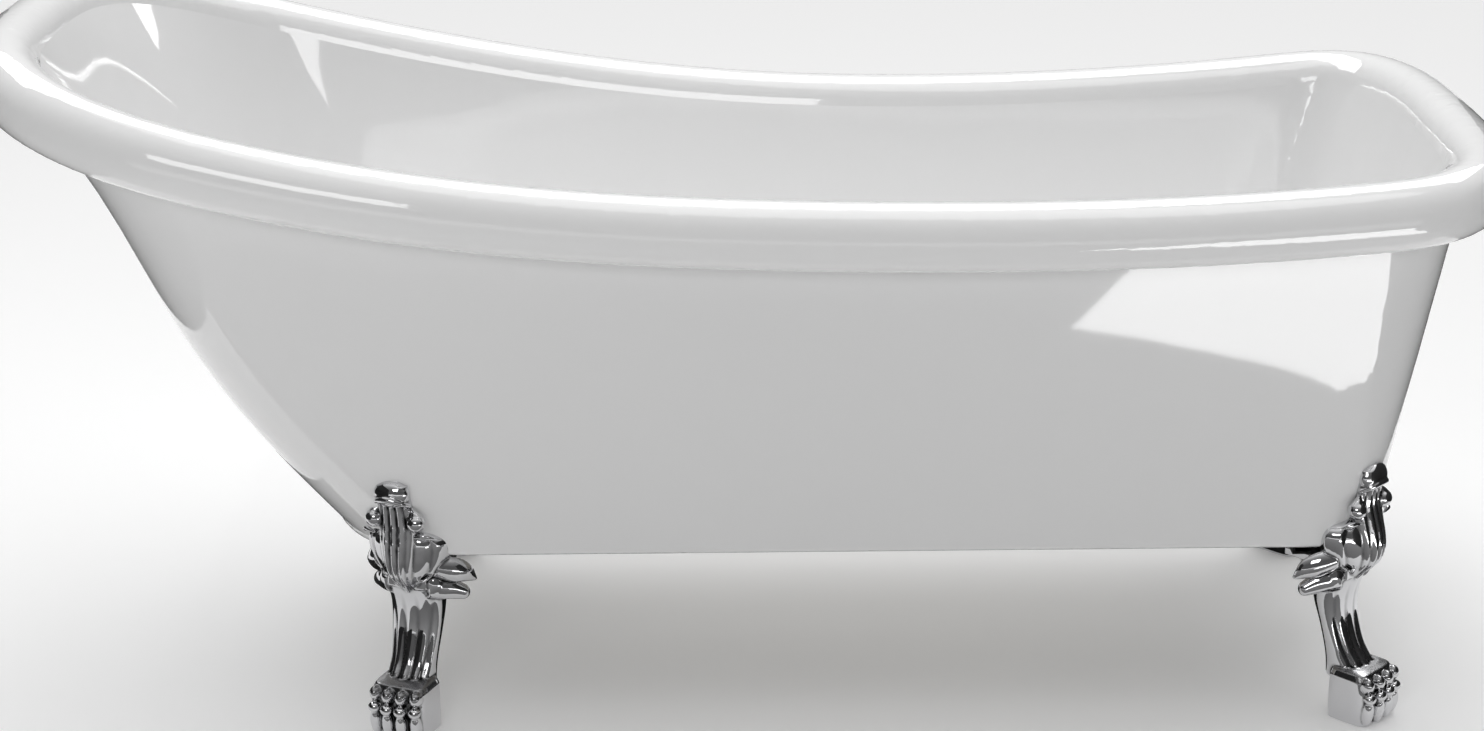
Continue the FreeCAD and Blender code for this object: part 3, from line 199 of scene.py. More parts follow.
@dataclass(frozen=True)
class Acrylic(Finish):
    """Vacuum-formed gloss acrylic: clear reflections that waver over the sheet's slow ripple."""

    # a ripple every 110 mm
    RIPPLES_PER_M = 9.0
    RIPPLE_HEIGHT = 0.5 * MM

    def detail(
        self, tree: bpy.types.NodeTree, shader: bpy.types.Node, place: bpy.types.NodeSocket
    ) -> None:
        """Bends the reflections slowly along the sheet and varies their sharpness.

        Args:
            tree: the material's node tree.
            shader: its Principled node.
            place: Object coordinates, in metres.
        """
        waves = {"Scale": self.RIPPLES_PER_M, "Detail": 1.0}
        ripple = add_node(tree, "ShaderNodeTexNoise", waves, {"Vector": place})
        bump = add_node(
            tree,
            "ShaderNodeBump",
            {"Distance": self.RIPPLE_HEIGHT, "Strength": 0.5},
            {"Height": ripple.outputs["Fac"]},
        )
        tree.links.new(bump.outputs["Normal"], shader.inputs["Normal"])
        spread = add_node(
            tree,
            "ShaderNodeMapRange",
            {"To Min": self.roughness * 0.8, "To Max": self.roughness * 1.3},
            {"Value": ripple.outputs["Fac"]},
        )
        tree.links.new(spread.outputs["Result"], shader.inputs["Roughness"])


@dataclass(frozen=True)
class CastChrome(Finish):
    """Chrome plate on a casting: mirror on the crowns, dull where polish doesn't reach, and made
    near-black in its hollows as painted shade.
    """

    # grains of 3 mm, coarser than casting sand so that they show, and polishing waves of 17 mm
    SAND_GRAINS_PER_M = 350.0
    WAVES_PER_M = 60.0
    RELIEF = 0.12 * MM
    HOLLOW_ROUGHNESS = 0.42
    # near-black painted shade for the hollows and creases
    HOLLOW_PAINTED_SHADE = "0c0c0d"

    def detail(
        self, tree: bpy.types.NodeTree, shader: bpy.types.Node, place: bpy.types.NodeSocket
    ) -> None:
        """Dulls the hollows and darkens them with painted shade, gives them a cast grain and waves the
        crowns a little.

        Args:
            tree: the material's node tree.
            shader: its Principled node.
            place: Object coordinates, in metres.
        """
        hollow_dullness_and_shade = add_node(tree, "ShaderNodeAttribute", {"attribute_name": "hollow_dullness_and_shade"}).outputs["Fac"]
        grains = {"Scale": self.SAND_GRAINS_PER_M, "Detail": 4.0}
        sand = add_node(tree, "ShaderNodeTexNoise", grains, {"Vector": place}).outputs["Fac"]
        waves = {"Scale": self.WAVES_PER_M, "Detail": 1.0}
        wave = add_node(tree, "ShaderNodeTexNoise", waves, {"Vector": place}).outputs["Fac"]
        times, plus = {"operation": "MULTIPLY"}, {"operation": "ADD"}
        depth = add_node(tree, "ShaderNodeMath", times, {0: hollow_dullness_and_shade, 1: sand}).outputs[0]
        height = add_node(tree, "ShaderNodeMath", plus, {0: depth, 1: wave}).outputs[0]
        bump = add_node(
            tree, "ShaderNodeBump", {"Distance": self.RELIEF, "Strength": 1.0}, {"Height": height}
        )
        tree.links.new(bump.outputs["Normal"], shader.inputs["Normal"])
        limits = {"To Min": self.roughness, "To Max": self.HOLLOW_ROUGHNESS}
        dull = add_node(tree, "ShaderNodeMapRange", limits, {"Value": hollow_dullness_and_shade})
        tree.links.new(dull.outputs["Result"], shader.inputs["Roughness"])
        bright = linear(self.colour)
        # painted shade: the colour runs from the chrome's own towards near-black as the hollows deepen
        dark = linear(self.HOLLOW_PAINTED_SHADE)
        tone = add_node(tree, "ShaderNodeMix", {"data_type": "RGBA", 6: bright, 7: dark}, {0: hollow_dullness_and_shade})
        tree.links.new(tone.outputs[2], shader.inputs["Base Color"])


@dataclass(frozen=True)
class Plywood(Finish):
    """Plywood sealed with pale resin: long face grain shows along the panel, with fine pores."""

    GRAIN_COLOUR = "aeaaa2"
    # stretched along X: bands of grain 20 mm wide and pores 1 mm wide
    STRETCH = (1.2, 16.0, 16.0)
    BANDS = 3.0
    PORES = 60.0

    def detail(
        self, tree: bpy.types.NodeTree, shader: bpy.types.Node, place: bpy.types.NodeSocket
    ) -> None:
        """Draws the grain along X and sinks its pores.

        Args:
            tree: the material's node tree.
            shader: its Principled node.
            place: Object coordinates, in metres.
        """
        stretch = add_node(tree, "ShaderNodeMapping", {"Scale": self.STRETCH}, {"Vector": place})
        figure = add_node(
            tree,
            "ShaderNodeTexNoise",
            {"Scale": self.BANDS, "Detail": 8.0, "Distortion": 1.4},
            {"Vector": stretch.outputs["Vector"]},
        )
        pores = add_node(
            tree,
            "ShaderNodeTexNoise",
            {"Scale": self.PORES, "Detail": 2.0},
            {"Vector": stretch.outputs["Vector"]},
        )
        tone = add_node(
            tree,
            "ShaderNodeMix",
            {"data_type": "RGBA", 6: linear(self.GRAIN_COLOUR), 7: linear(self.colour)},
            {0: figure.outputs["Fac"]},
        )
        tree.links.new(tone.outputs[2], shader.inputs["Base Color"])
        depth = {"Distance": 0.1 * MM}
        bump = add_node(tree, "ShaderNodeBump", depth, {"Height": pores.outputs["Fac"]})
        tree.links.new(bump.outputs["Normal"], shader.inputs["Normal"])


FINISHES: dict[Slot, Finish] = {
    Slot.ACRYLIC: Acrylic("gloss_white_acrylic", "f4f4f4", 0.05, ior=1.49, coat=0.6),
    Slot.PLYWOOD: Plywood("sealed_plywood", "c9c6c0", 0.5, ior=1.5),
    Slot.BLACK_STEEL: Finish("black_powder_coated_steel", "131313", 0.42, ior=1.5),
    Slot.CHROME: CastChrome("polished_chrome", "dcdcde", 0.05, metallic=1.0),
    Slot.ZINC: Finish("bright_zinc_plated_steel", "b9bbbd", 0.28, metallic=1.0),
    Slot.NYLON: Finish("moulded_black_nylon", "1b1b1c", 0.45, ior=1.53),
    Slot.RUBBER: Finish("moulded_black_rubber", "161616", 0.6, ior=1.52),
    Slot.PIPE: Finish("white_polypropylene_pipe", "e9e9e6", 0.35, ior=1.49),
    Slot.HOSE: Finish("grey_pvc_hose", "b4b5b5", 0.4, ior=1.53),
}


# ---------------------------------------------------------------- studio


@dataclass(frozen=True)
class Softbox:
    """A rectangular studio light.

    Attributes:
        name: light name.
        place: centre, in metres.
        aim: point that it faces.
        size: width and height, in metres.
        power: watts.
        lights: whether it lights matt surfaces; a card that doesn't is there for reflections alone.
        twist: turn about its own axis, in degrees.
    """

    name: str
    place: tuple[float, float, float]
    aim: tuple[float, float, float]
    size: tuple[float, float]
    power: float
    lights: bool = True
    twist: float = 0.0

    def build(self) -> bpy.types.Object:
        """Makes the light.

        Returns:
            The light object.
        """
        lamp = bpy.data.lights.new(self.name, "AREA")
        lamp.shape = "RECTANGLE"
        lamp.size, lamp.size_y = self.size
        lamp.energy = self.power
        thing = bpy.data.objects.new(self.name, lamp)
        thing.location = self.place
        facing = (Vector(self.aim) - Vector(self.place)).to_track_quat("-Z", "Y").to_matrix()
        thing.rotation_euler = (facing @ Matrix.Rotation(math.radians(self.twist), 3, "Z")).to_euler()
        thing.visible_camera = False
        thing.visible_diffuse = self.lights
        bpy.context.scene.collection.objects.link(thing)
        return thing


@dataclass(frozen=True)
class Camera:
    """The photograph's camera, from its fitted place and angles.

    Attributes:
        place: in metres.
        yaw: turn to the right, in degrees.
        pitch: tilt downwards, in degrees.
        roll: turn about its own axis, in degrees.
        focal_px: focal length in the photograph's pixels.
        centre_px: where its axis meets the photograph.
        picture_px: the photograph's width and height.
        sensor_mm: width of the sensor.
    """

    place: tuple[float, float, float] = (0.00612, -2.99477, 1.40340)
    yaw: float = 0.2396
    pitch: float = 19.4239
    roll: float = -0.4617
    focal_px: float = 2669.836
    centre_px: tuple[float, float] = (761.85, 363.08)
    picture_px: tuple[int, int] = (1484, 731)
    sensor_mm: float = 36.0

    def build(self) -> bpy.types.Object:
        """Makes the scene's camera.

        Returns:
            The camera object.
        """
        width, height = self.picture_px
        data = bpy.data.cameras.new("photo_camera")
        data.sensor_width = self.sensor_mm
        data.lens = self.sensor_mm * self.focal_px / width
        data.shift_x = (width / 2 - self.centre_px[0]) / width
        data.shift_y = (self.centre_px[1] - height / 2) / width
        data.clip_start, data.clip_end = 0.05, 60.0
        camera = bpy.data.objects.new("photo_camera", data)
        turn = Matrix.Rotation(math.radians(-self.yaw), 4, "Z")
        tip = Matrix.Rotation(math.radians(90 - self.pitch), 4, "X")
        lean = Matrix.Rotation(math.radians(self.roll), 4, "Z")
        camera.matrix_world = Matrix.Translation(self.place) @ turn @ tip @ lean
        bpy.context.scene.collection.objects.link(camera)
        bpy.context.scene.camera = camera
        return camera


@dataclass(frozen=True)
class Flag:
    """A matt card that only reflections show, so that polished metal has something dark to mirror.

    Attributes:
        name: object name.
        low: one corner, in metres.
        high: the opposite corner; one side of the card has no thickness.
        grey: sRGB hex of its face.
    """

    name: str
    low: tuple[float, float, float]
    high: tuple[float, float, float]
    grey: str

    def build(self) -> bpy.types.Object:
        """Makes the card.

        Returns:
            The card, seen by reflections alone.
        """
        size = Vector(self.high) - Vector(self.low)
        shape = bmesh.new()
        place = Matrix.Translation(Vector(self.low) + size / 2) @ Matrix.Diagonal((*size, 1.0))
        bmesh.ops.create_cube(shape, size=1.0, matrix=place)
        mesh = bpy.data.meshes.new(self.name)
        shape.to_mesh(mesh)
        shape.free()
        face = bpy.data.materials.new(self.name)
        face.use_nodes = True
        shader = face.node_tree.nodes["Principled BSDF"]
        shader.inputs["Base Color"].default_value = linear(self.grey)
        shader.inputs["Roughness"].default_value = 1.0
        mesh.materials.append(face)
        card = bpy.data.objects.new(self.name, mesh)
        bpy.context.scene.collection.objects.link(card)
        card.visible_camera = False
        card.visible_diffuse = False
        card.visible_shadow = False
        card.visible_transmission = False
        return card


@dataclass(frozen=True)
class Studio:
    """Floor, surrounding light, softboxes and flags."""

    boxes: tuple[Softbox, ...] = (
        Softbox("overhead", (0.1, 0.1, 2.9), (0.0, 0.0, 0.4), (2.6, 1.1), 13.0),
        Softbox("front_fill", (-0.8, -3.8, 2.4), (0.0, 0.0, 0.4), (1.8, 1.0), 24.0),
        Softbox("rim_strip", (0.0, 1.3, 2.5), (0.0, 0.0, 0.6), (4.2, 1.5), 120.0, lights=False),
        Softbox(
            "low_card",
            (0.96, -1.24, 0.012),
            (0.96, -1.24, 1.0),
            (0.85, 0.65),
            9.5,
            lights=False,
            twist=-29.0,
        ),
    )
    flags: tuple[Flag, ...] = (
        Flag("front_flag", (-2.2, -2.6, 0.004), (2.2, -0.36, 0.006), "8a8a8a"),
        # under_flag is a black card standing in for the shade on the floor under the bath, so the
        # feet's chrome mirrors it black
        Flag("under_flag", (-0.7, -0.14, 0.003), (0.8, 0.7, 0.005), "0a0a0a"),
        Flag("drain_end_flag", (1.15, -1.2, 0.0), (1.16, 0.9, 0.9), "1c1c1c"),
        Flag("head_end_flag", (-1.16, -1.2, 0.0), (-1.15, 0.9, 0.9), "1c1c1c"),
    )
    FLOOR_REACH: float = 30.0
    FLOOR_COLOUR: str = "fafafa"
    FLOOR_GLOW: float = 0.13
    # where the room is brightest, and (cosine from there, brightness): dim in front, bright behind
    BRIGHT_WAY: tuple[float, float, float] = (0.0, 0.45, 0.893)
    SKY: tuple[tuple[float, float], ...] = (
        (0.0, 0.10), (0.35, 0.25), (0.6, 0.6), (0.85, 1.1), (1.0, 1.3),
    )

    def build(self) -> None:
        """Makes the floor, the world, the lights and the flags."""
        self.floor()
        self.world()
        for piece in (*self.boxes, *self.flags):
            piece.build()
        log.info("studio with %d softboxes and %d flags", len(self.boxes), len(self.flags))

    def floor(self) -> None:
        """Makes a wide pale floor at the height that the bath stands on."""
        mesh = bpy.data.meshes.new("floor")
        shape = bmesh.new()
        bmesh.ops.create_grid(shape, x_segments=1, y_segments=1, size=self.FLOOR_REACH)
        shape.to_mesh(mesh)
        shape.free()
        floor = bpy.data.objects.new("floor", mesh)
        bpy.context.scene.collection.objects.link(floor)
        paper = bpy.data.materials.new("studio_paper")
        paper.use_nodes = True
        shader = paper.node_tree.nodes["Principled BSDF"]
        shader.inputs["Base Color"].default_value = linear(self.FLOOR_COLOUR)
        shader.inputs["Roughness"].default_value = 0.95
        shader.inputs["Emission Color"].default_value = linear("ffffff")
        # a little glow for the eye and reflections alone keeps the paper pale and leaves its shadow
        tree = paper.node_tree
        path = add_node(tree, "ShaderNodeLightPath").outputs
        seen = path["Is Camera Ray"]
        for ray in ("Is Glossy Ray", "Is Transmission Ray"):
            either = {0: seen, 1: path[ray]}
            seen = add_node(tree, "ShaderNodeMath", {"operation": "MAXIMUM"}, either).outputs[0]
        times = {"operation": "MULTIPLY", 1: self.FLOOR_GLOW}
        glow = add_node(tree, "ShaderNodeMath", times, {0: seen})
        tree.links.new(glow.outputs[0], shader.inputs["Emission Strength"])
        mesh.materials.append(paper)

    def world(self) -> None:
        """Makes a plain room that is dim around the front and bright above and behind the bath."""
        world = bpy.data.worlds.new("room")
        bpy.context.scene.world = world
        world.use_nodes = True
        tree = world.node_tree
        place = add_node(tree, "ShaderNodeTexCoord").outputs["Generated"]
        bright = {"operation": "DOT_PRODUCT", 1: self.BRIGHT_WAY}
        toward = add_node(tree, "ShaderNodeVectorMath", bright, {0: place})
        ramp = add_node(tree, "ShaderNodeValToRGB", links={"Fac": toward.outputs["Value"]})
        stops = ramp.color_ramp.elements
        while len(stops) < len(self.SKY):
            stops.new(0.5)
        top = max(level for _, level in self.SKY)
        for stop, (at, level) in zip(stops, self.SKY):
            stop.position = at
            stop.color = (*[level / top] * 3, 1.0)
        sky = tree.nodes["Background"]
        tree.links.new(ramp.outputs["Color"], sky.inputs["Color"])
        sky.inputs["Strength"].default_value = top


# ---------------------------------------------------------------- claw feet


@dataclass(frozen=True)
class Stations:
    """A size that changes smoothly with height, through (height, value) pairs in millimetres."""

    pairs: tuple[tuple[float, float], ...]

    def at(self, height: float) -> float:
        """Reads the size at a height.

        Args:
            height: height above the floor, in millimetres.

        Returns:
            The value on a smooth curve through the pairs.
        """
        heights = [pair[0] for pair in self.pairs]
        values = [pair[1] for pair in self.pairs]
        last = len(heights) - 1
        index = min(max(sum(h <= height for h in heights) - 1, 0), last - 1)
        span = heights[index + 1] - heights[index]
        share = min(max((height - heights[index]) / span, 0.0), 1.0)

        def slope(k: int) -> float:
            """Gives the curve's rise at pair k, from its neighbours."""
            low, high = max(k - 1, 0), min(k + 1, last)
            return (values[high] - values[low]) / (heights[high] - heights[low])

        ease = share * share * (3 - 2 * share)
        start = share * (1 - share) ** 2 * span * slope(index)
        end = share * share * (share - 1) * span * slope(index + 1)
        return values[index] * (1 - ease) + values[index + 1] * ease + start + end


Point = tuple[float, float, float]


def rounded(turn: float, power: float) -> float:
    """Gives the reach of a rounded outline.

    Args:
        turn: angle around the outline, in radians.
        power: 2 gives an oval, more a rounded box, less a lens.

    Returns:
        The reach, 1 along both axes.
    """
    return (abs(math.cos(turn)) ** power + abs(math.sin(turn)) ** power) ** (-1 / power)


def bump_at(place: float, middle: float, width: float) -> float:
    """Gives a smooth bump's height at a place, 1 at its middle."""
    return math.exp(-(((place - middle) / width) ** 2))


class Casting:
    """Closed forms in one mesh, in millimetres, that are melted together like a casting."""

    def __init__(self) -> None:
        """Starts an empty form."""
        self.shape = bmesh.new()

    def hoop(self, points: Sequence[Point]) -> list[bmesh.types.BMEdge]:
        """Lays one closed ring through the points.

        Args:
            points: the ring's corners in order.

        Returns:
            Its edges.
        """
        circle = bmesh.ops.create_circle(self.shape, cap_ends=False, radius=1.0, segments=len(points))
        corners = circle["verts"]
        for corner, point in zip(corners, points):
            corner.co = point
        return list({edge for corner in corners for edge in corner.link_edges})

    def loft(self, rings: Sequence[Sequence[Point]], closed: bool = False) -> None:
        """Adds a form through rings of equal length.

        Args:
            rings: the rings, from one end to the other.
            closed: joins the last ring to the first instead of capping both.
        """
        hoops = [self.hoop(ring) for ring in rings]
        for low, high in zip(hoops, hoops[1:] + (hoops[:1] if closed else [])):
            bmesh.ops.bridge_loops(self.shape, edges=low + high)
        for end in [] if closed else (hoops[0], hoops[-1]):
            bmesh.ops.contextual_create(self.shape, geom=end)

    def ball(self, centre: Point, radii: Point, turn: Matrix | None = None) -> None:
        """Adds an egg shape.

        Args:
            centre: its middle.
            radii: its three radii.
            turn: rotation about its middle.
        """
        spin = turn or Matrix.Identity(4)
        place = Matrix.Translation(centre) @ spin @ Matrix.Diagonal((*radii, 1.0))
        bmesh.ops.create_uvsphere(self.shape, u_segments=28, v_segments=18, radius=1.0, matrix=place)

    def limb(
        self, path: Sequence[Point], tall: Sequence[float], thick: Sequence[float], power: float = 2.0
    ) -> None:
        """Adds a tapering arm along a smooth path.

        Args:
            path: points along its middle.
            tall: half height at each point.
            thick: half thickness at each point.
            power: 2 gives a round section, less gives sharp edges at top and bottom.
        """
        steps, sides, nudge = 14, 24, 0.05
        marks = [float(k) for k in range(len(path))]
        lines = [Stations(tuple(zip(marks, (point[axis] for point in path)))) for axis in range(3)]
        heights, widths = Stations(tuple(zip(marks, tall))), Stations(tuple(zip(marks, thick)))
        rings = []
        for step in range(steps + 1):
            at = marks[-1] * step / steps
            middle = Vector([line.at(at) for line in lines])
            after, before = (Vector([line.at(at + by) for line in lines]) for by in (nudge, -nudge))
            ahead = after - before
            if ahead.length < 1e-6:
                ahead = middle - Vector(path[-2])
            side = ahead.normalized().cross(Vector((0, 0, 1))).normalized()
            up = side.cross(ahead.normalized())
            ring = []
            for k in range(sides):
                turn = 2 * math.pi * k / sides
                reach = rounded(turn, power)
                out = side * (math.cos(turn) * reach * widths.at(at))
                rise = up * (math.sin(turn) * reach * heights.at(at))
                ring.append(tuple(middle + (out + rise)))
            rings.append(ring)
        self.loft(rings)

    def loop(self, centre: Vector, turn: Matrix, radii: tuple[float, float], wire: float) -> None:
        """Adds a closed oval ring of round wire.

        Args:
            centre: its middle.
            turn: rotation of its plane, which starts facing +X.
            radii: its half length and half width.
            wire: radius of the wire.
        """
        steps, sides = 28, 10
        rings = []
        for k in range(steps):
            around = 2 * math.pi * k / steps
            hub = Vector((0, radii[0] * math.cos(around), radii[1] * math.sin(around)))
            out = Vector((0, math.cos(around), math.sin(around)))
            ring = []
            for m in range(sides):
                tilt = 2 * math.pi * m / sides
                point = hub + out * (wire * math.cos(tilt)) + Vector((wire * math.sin(tilt), 0, 0))
                ring.append(tuple(centre + turn @ point))
            rings.append(ring)
        self.loft(rings, closed=True)

    def slab(self, low: Point, high: Point) -> None:
        """Adds a box between two corners.

        Args:
            low: one corner.
            high: the opposite corner.
        """
        size = Vector(high) - Vector(low)
        place = Matrix.Translation(Vector(low) + size / 2) @ Matrix.Diagonal((*size, 1.0))
        bmesh.ops.create_cube(self.shape, size=1.0, matrix=place)

    def melt(self, name: str, voxel: float, rounds: int) -> bpy.types.Mesh:
        """Joins the forms into one skin.

        Args:
            name: mesh name.
            voxel: grain of the join.
            rounds: smoothing passes.

        Returns:
            The joined mesh, still in millimetres.
        """
        raw = bpy.data.meshes.new(name + "_forms")
        bmesh.ops.recalc_face_normals(self.shape, faces=self.shape.faces)
        self.shape.to_mesh(raw)
        self.shape.free()
        thing = bpy.data.objects.new(name + "_forms", raw)
        bpy.context.scene.collection.objects.link(thing)
        remesh = thing.modifiers.new("melt", "REMESH")
        remesh.mode = "VOXEL"
        remesh.voxel_size = voxel
        smooth = thing.modifiers.new("smooth", "SMOOTH")
        smooth.factor, smooth.iterations = 0.5, rounds
        view = thing.evaluated_get(bpy.context.evaluated_depsgraph_get())
        mesh = bpy.data.meshes.new_from_object(view)
        mesh.name = name
        bpy.data.objects.remove(thing)
        bpy.data.meshes.remove(raw)
        return mesh


def hollowness(mesh: bpy.types.Mesh, reach: int, full_depth: float) -> np.ndarray:
    """Measures how deep each vertex lies below a smoothed copy of the surface.

    Args:
        mesh: the mesh.
        reach: smoothing passes.
        full_depth: depth that counts as 1, in the mesh's units.

    Returns:
        One value from 0 to 1 per vertex.
    """
    count = len(mesh.vertices)
    points = np.empty(count * 3)
    mesh.vertices.foreach_get("co", points)
    points = points.reshape(-1, 3)
    normals = np.empty(count * 3)
    mesh.vertices.foreach_get("normal", normals)
    normals = normals.reshape(-1, 3)
    edges = np.empty(len(mesh.edges) * 2, int)
    mesh.edges.foreach_get("vertices", edges)
    first, second = edges.reshape(-1, 2).T
    share = np.bincount(first, minlength=count) + np.bincount(second, minlength=count)
    flat = points.copy()
    for _ in range(reach):
        total = np.empty_like(flat)
        for axis in range(3):
            total[:, axis] = np.bincount(first, flat[second, axis], count) + np.bincount(
                second, flat[first, axis], count
            )
        flat = total / share[:, None]
    depth = ((flat - points) * normals).sum(axis=1)
    return np.clip(depth / full_depth, 0.0, 1.0)


@dataclass(frozen=True)
class FootShape:
    """The foot's outline in millimetres. X is outwards from the skirt's edge, Y sideways, Z up.

    Attributes:
        shank_middle: how far out the shank's middle lies.
        shank_depth: its half size along X.
        shank_width: its half size along Y.
        tongue_width: half width of the leaf's middle tongue.
        tongue_front: how far the tongue stands out from the skirt.
        tongue_back: how far it reaches in behind the skirt's face.
        petal_width: half width of the side petals.
        petal_front: how far their middle stands out from the skirt.
        petal_back: how far they reach in behind its face.
    """

    shank_middle: Stations = Stations(
        ((46, 4), (62, 1), (80, -7), (111, -16.6), (140, -22.7), (170, -19), (204, -12))
    )
    shank_depth: Stations = Stations(
        ((46, 27), (62, 25), (80, 19), (111, 16), (140, 20), (170, 23), (204, 22))
    )
    shank_width: Stations = Stations(
        ((46, 27), (62, 27), (80, 27), (111, 30), (140, 32), (170, 34), (204, 33))
    )
    tongue_width: Stations = Stations(
        (
            (158, 3), (166, 6), (176, 10.5), (188, 15), (204, 19), (225, 21.5), (248, 22),
            (270, 20.5), (302, 19),
        )
    )
    tongue_front: Stations = Stations(
        (
            (158, 0), (166, 6), (176, 16), (188, 27), (200, 32), (214, 32.5), (228, 28), (242, 21),
            (256, 14.5), (272, 11), (288, 11), (302, 8),
        )
    )
    petal_width: Stations = Stations(
        (
            (154, 6), (162, 13), (172, 22), (184, 33), (196, 42), (208, 48), (220, 50.5), (230, 48),
            (237, 40), (243, 24),
        )
    )
    petal_front: Stations = Stations(
        (
            (154, -6), (162, 0), (172, 8), (184, 15.5), (196, 20), (208, 21.5), (220, 20), (230, 15.5),
            (237, 10), (243, 4),
        )
    )
    tongue_back: float = 16
    petal_back: float = 22


# how far the skirt stands out beyond its lower edge behind each end's foot, by height
SKIRT_BEHIND = {
    "head": Stations(
        ((160, 0), (214, 0), (232, 5), (249, 11.6), (269, 17.8), (289, 22.8), (311, 28.4))
    ),
    "drain": Stations(
        ((160, 0), (214, 0), (230, 2), (245, 4.8), (262, 7.5), (280, 11), (311, 15.6))
    ),
}


@dataclass
class ClawFoot:
    """One end's cast foot: acanthus leaf, scrolls, side wings, fluted shank and a four-toed paw.

    Attributes:
        end: head or drain.
        shape: its outline.
        voxel: grain at which its forms melt together.
        PAW: the paw's heel, front, half width and top.
        LEVEL: height of the ledge under the skirt.
        TURN: the way that each end's left foot faces, in degrees from +X.
        PAD_OUT: how far the levelling pad stands out from the foot's own origin.
    """

    end: str
    shape: FootShape = field(default_factory=FootShape)
    voxel: float = 1.1
    PAW: tuple[float, float, float, float] = (-8.0, 44.0, 33.0, 61.0)
    LEVEL: float = 207.6
    TURN: ClassVar[dict[str, float]] = {"head": 112.0, "drain": 45.0}
    PAD_OUT: float = 17.0

    def lean(self, height: float) -> float:
        """Gives how far the skirt stands out beyond its lower edge at a height."""
        return SKIRT_BEHIND[self.end].at(height)

    def petal_at(self, across: float, height: float) -> float:
        """Gives how far out the side petals' face lies.

        Args:
            across: share of their half width, -1 to 1.
            height: height above the floor.

        Returns:
            The distance out from the foot's origin, with a crease and a curled lip near the rim.
        """
        front = self.shape.petal_front.at(height)
        edge = -12.0
        crown = (1 - abs(across) ** 2.6) ** 0.75
        lip = 3.0 * bump_at(abs(across), 0.87, 0.07)
        crease = 2.2 * bump_at(abs(across), 0.72, 0.07)
        return self.lean(height) + edge + (front - edge) * crown + lip - crease

    def shank(self, form: Casting) -> None:
        """Adds the S-curved shank with four flutes down its front that fade out upwards.

        Args:
            form: the casting that it joins.
        """
        grooves, groove_width, groove_depth = (-48, -16, 16, 48), 9, 0.15
        squareness, sides = 2.4, 96
        outline = self.shape
        rings = []
        for height in range(46, 205, 3):
            middle = outline.shank_middle.at(height)
            depth = outline.shank_depth.at(height)
            width = outline.shank_width.at(height)
            low_fade = min(max((height - 54) / 10, 0), 1)
            fade = low_fade * min(max((170 - height) / 85, 0), 1)
            ring = []
            for k in range(sides):
                turn = 2 * math.pi * k / sides
                degrees = math.degrees(math.atan2(math.sin(turn), math.cos(turn)))
                cut = sum(bump_at(degrees, groove, groove_width) for groove in grooves)
                reach = rounded(turn, squareness) * (1 - groove_depth * cut * fade)
                out = middle + depth * reach * math.cos(turn)
                ring.append((out, width * reach * math.sin(turn), height))
            rings.append(ring)
        form.loft(rings)

    def tongue_at(self, across: float, height: float) -> float:
        """Gives how far out the tongue's fluted face lies.

        Args:
            across: share of its half width, -1 to 1.
            height: height above the floor.

        Returns:
            The distance out from the foot's origin.
        """
        grooves, groove_width, groove_depth = (-0.66, -0.22, 0.22, 0.66), 0.12, 3.2
        back = self.lean(height) - self.shape.tongue_back
        front = self.lean(height) + self.shape.tongue_front.at(height)
        crown = (1 - abs(across) ** 3) ** 0.5
        cut = sum(bump_at(across, groove, groove_width) for groove in grooves)
        low_fade = min((height - 150) / 26, 1.0)
        high_fade = min(max((300 - height) / 16, 0.0), 1.0)
        depth = groove_depth * cut * low_fade * high_fade
        return back + (front - back) * (0.55 + 0.45 * crown) - depth

    def leaf(self, form: Casting) -> None:
        """Adds the side petals, the fluted tongue in front of them, the curled tip and the scrolls.

        Args:
            form: the casting that they join.
        """
        outline, face, back_share = self.shape, 44, 0.9
        layers = (
            (np.arange(154, 243.5, 2.0), outline.petal_width, outline.petal_back, self.petal_at),
            (np.arange(158, 302.5, 2.0), outline.tongue_width, outline.tongue_back, self.tongue_at),
        )
        for heights, widths, depth, face_at in layers:
            rings = []
            for height in heights:
                width = widths.at(height)
                back = self.lean(height) - depth
                ring = []
                for k in range(face + 1):
                    across = -1 + 2 * k / face
                    ring.append((face_at(across, height), across * width, height))
                ring += [(back, width * back_share, height), (back, -width * back_share, height)]
                rings.append(ring)
            form.loft(rings)
        self.curl(form)
        for side in (-1, 1):
            self.scroll(form, side)

    def curl(self, form: Casting) -> None:
        """Adds the leaf's tip: a dome that rolls forwards over the flutes to a thick lip.

        Args:
            form: the casting that it joins.
        """
        tip = self.lean(296)
        form.ball((tip, 0, 291.5), (13.5, 21.5, 16.5))
        middle = (tip + 13, 0, 288)
        right = [(tip - 3, -21, 277), (tip + 9, -14, 284)]
        left = [(tip + 9, 14, 284), (tip - 3, 21, 277)]
        form.limb([*right, middle, *left], [2.0, 3.4, 4.0, 3.4, 2.0], [2.0, 3.2, 3.8, 3.2, 2.0])

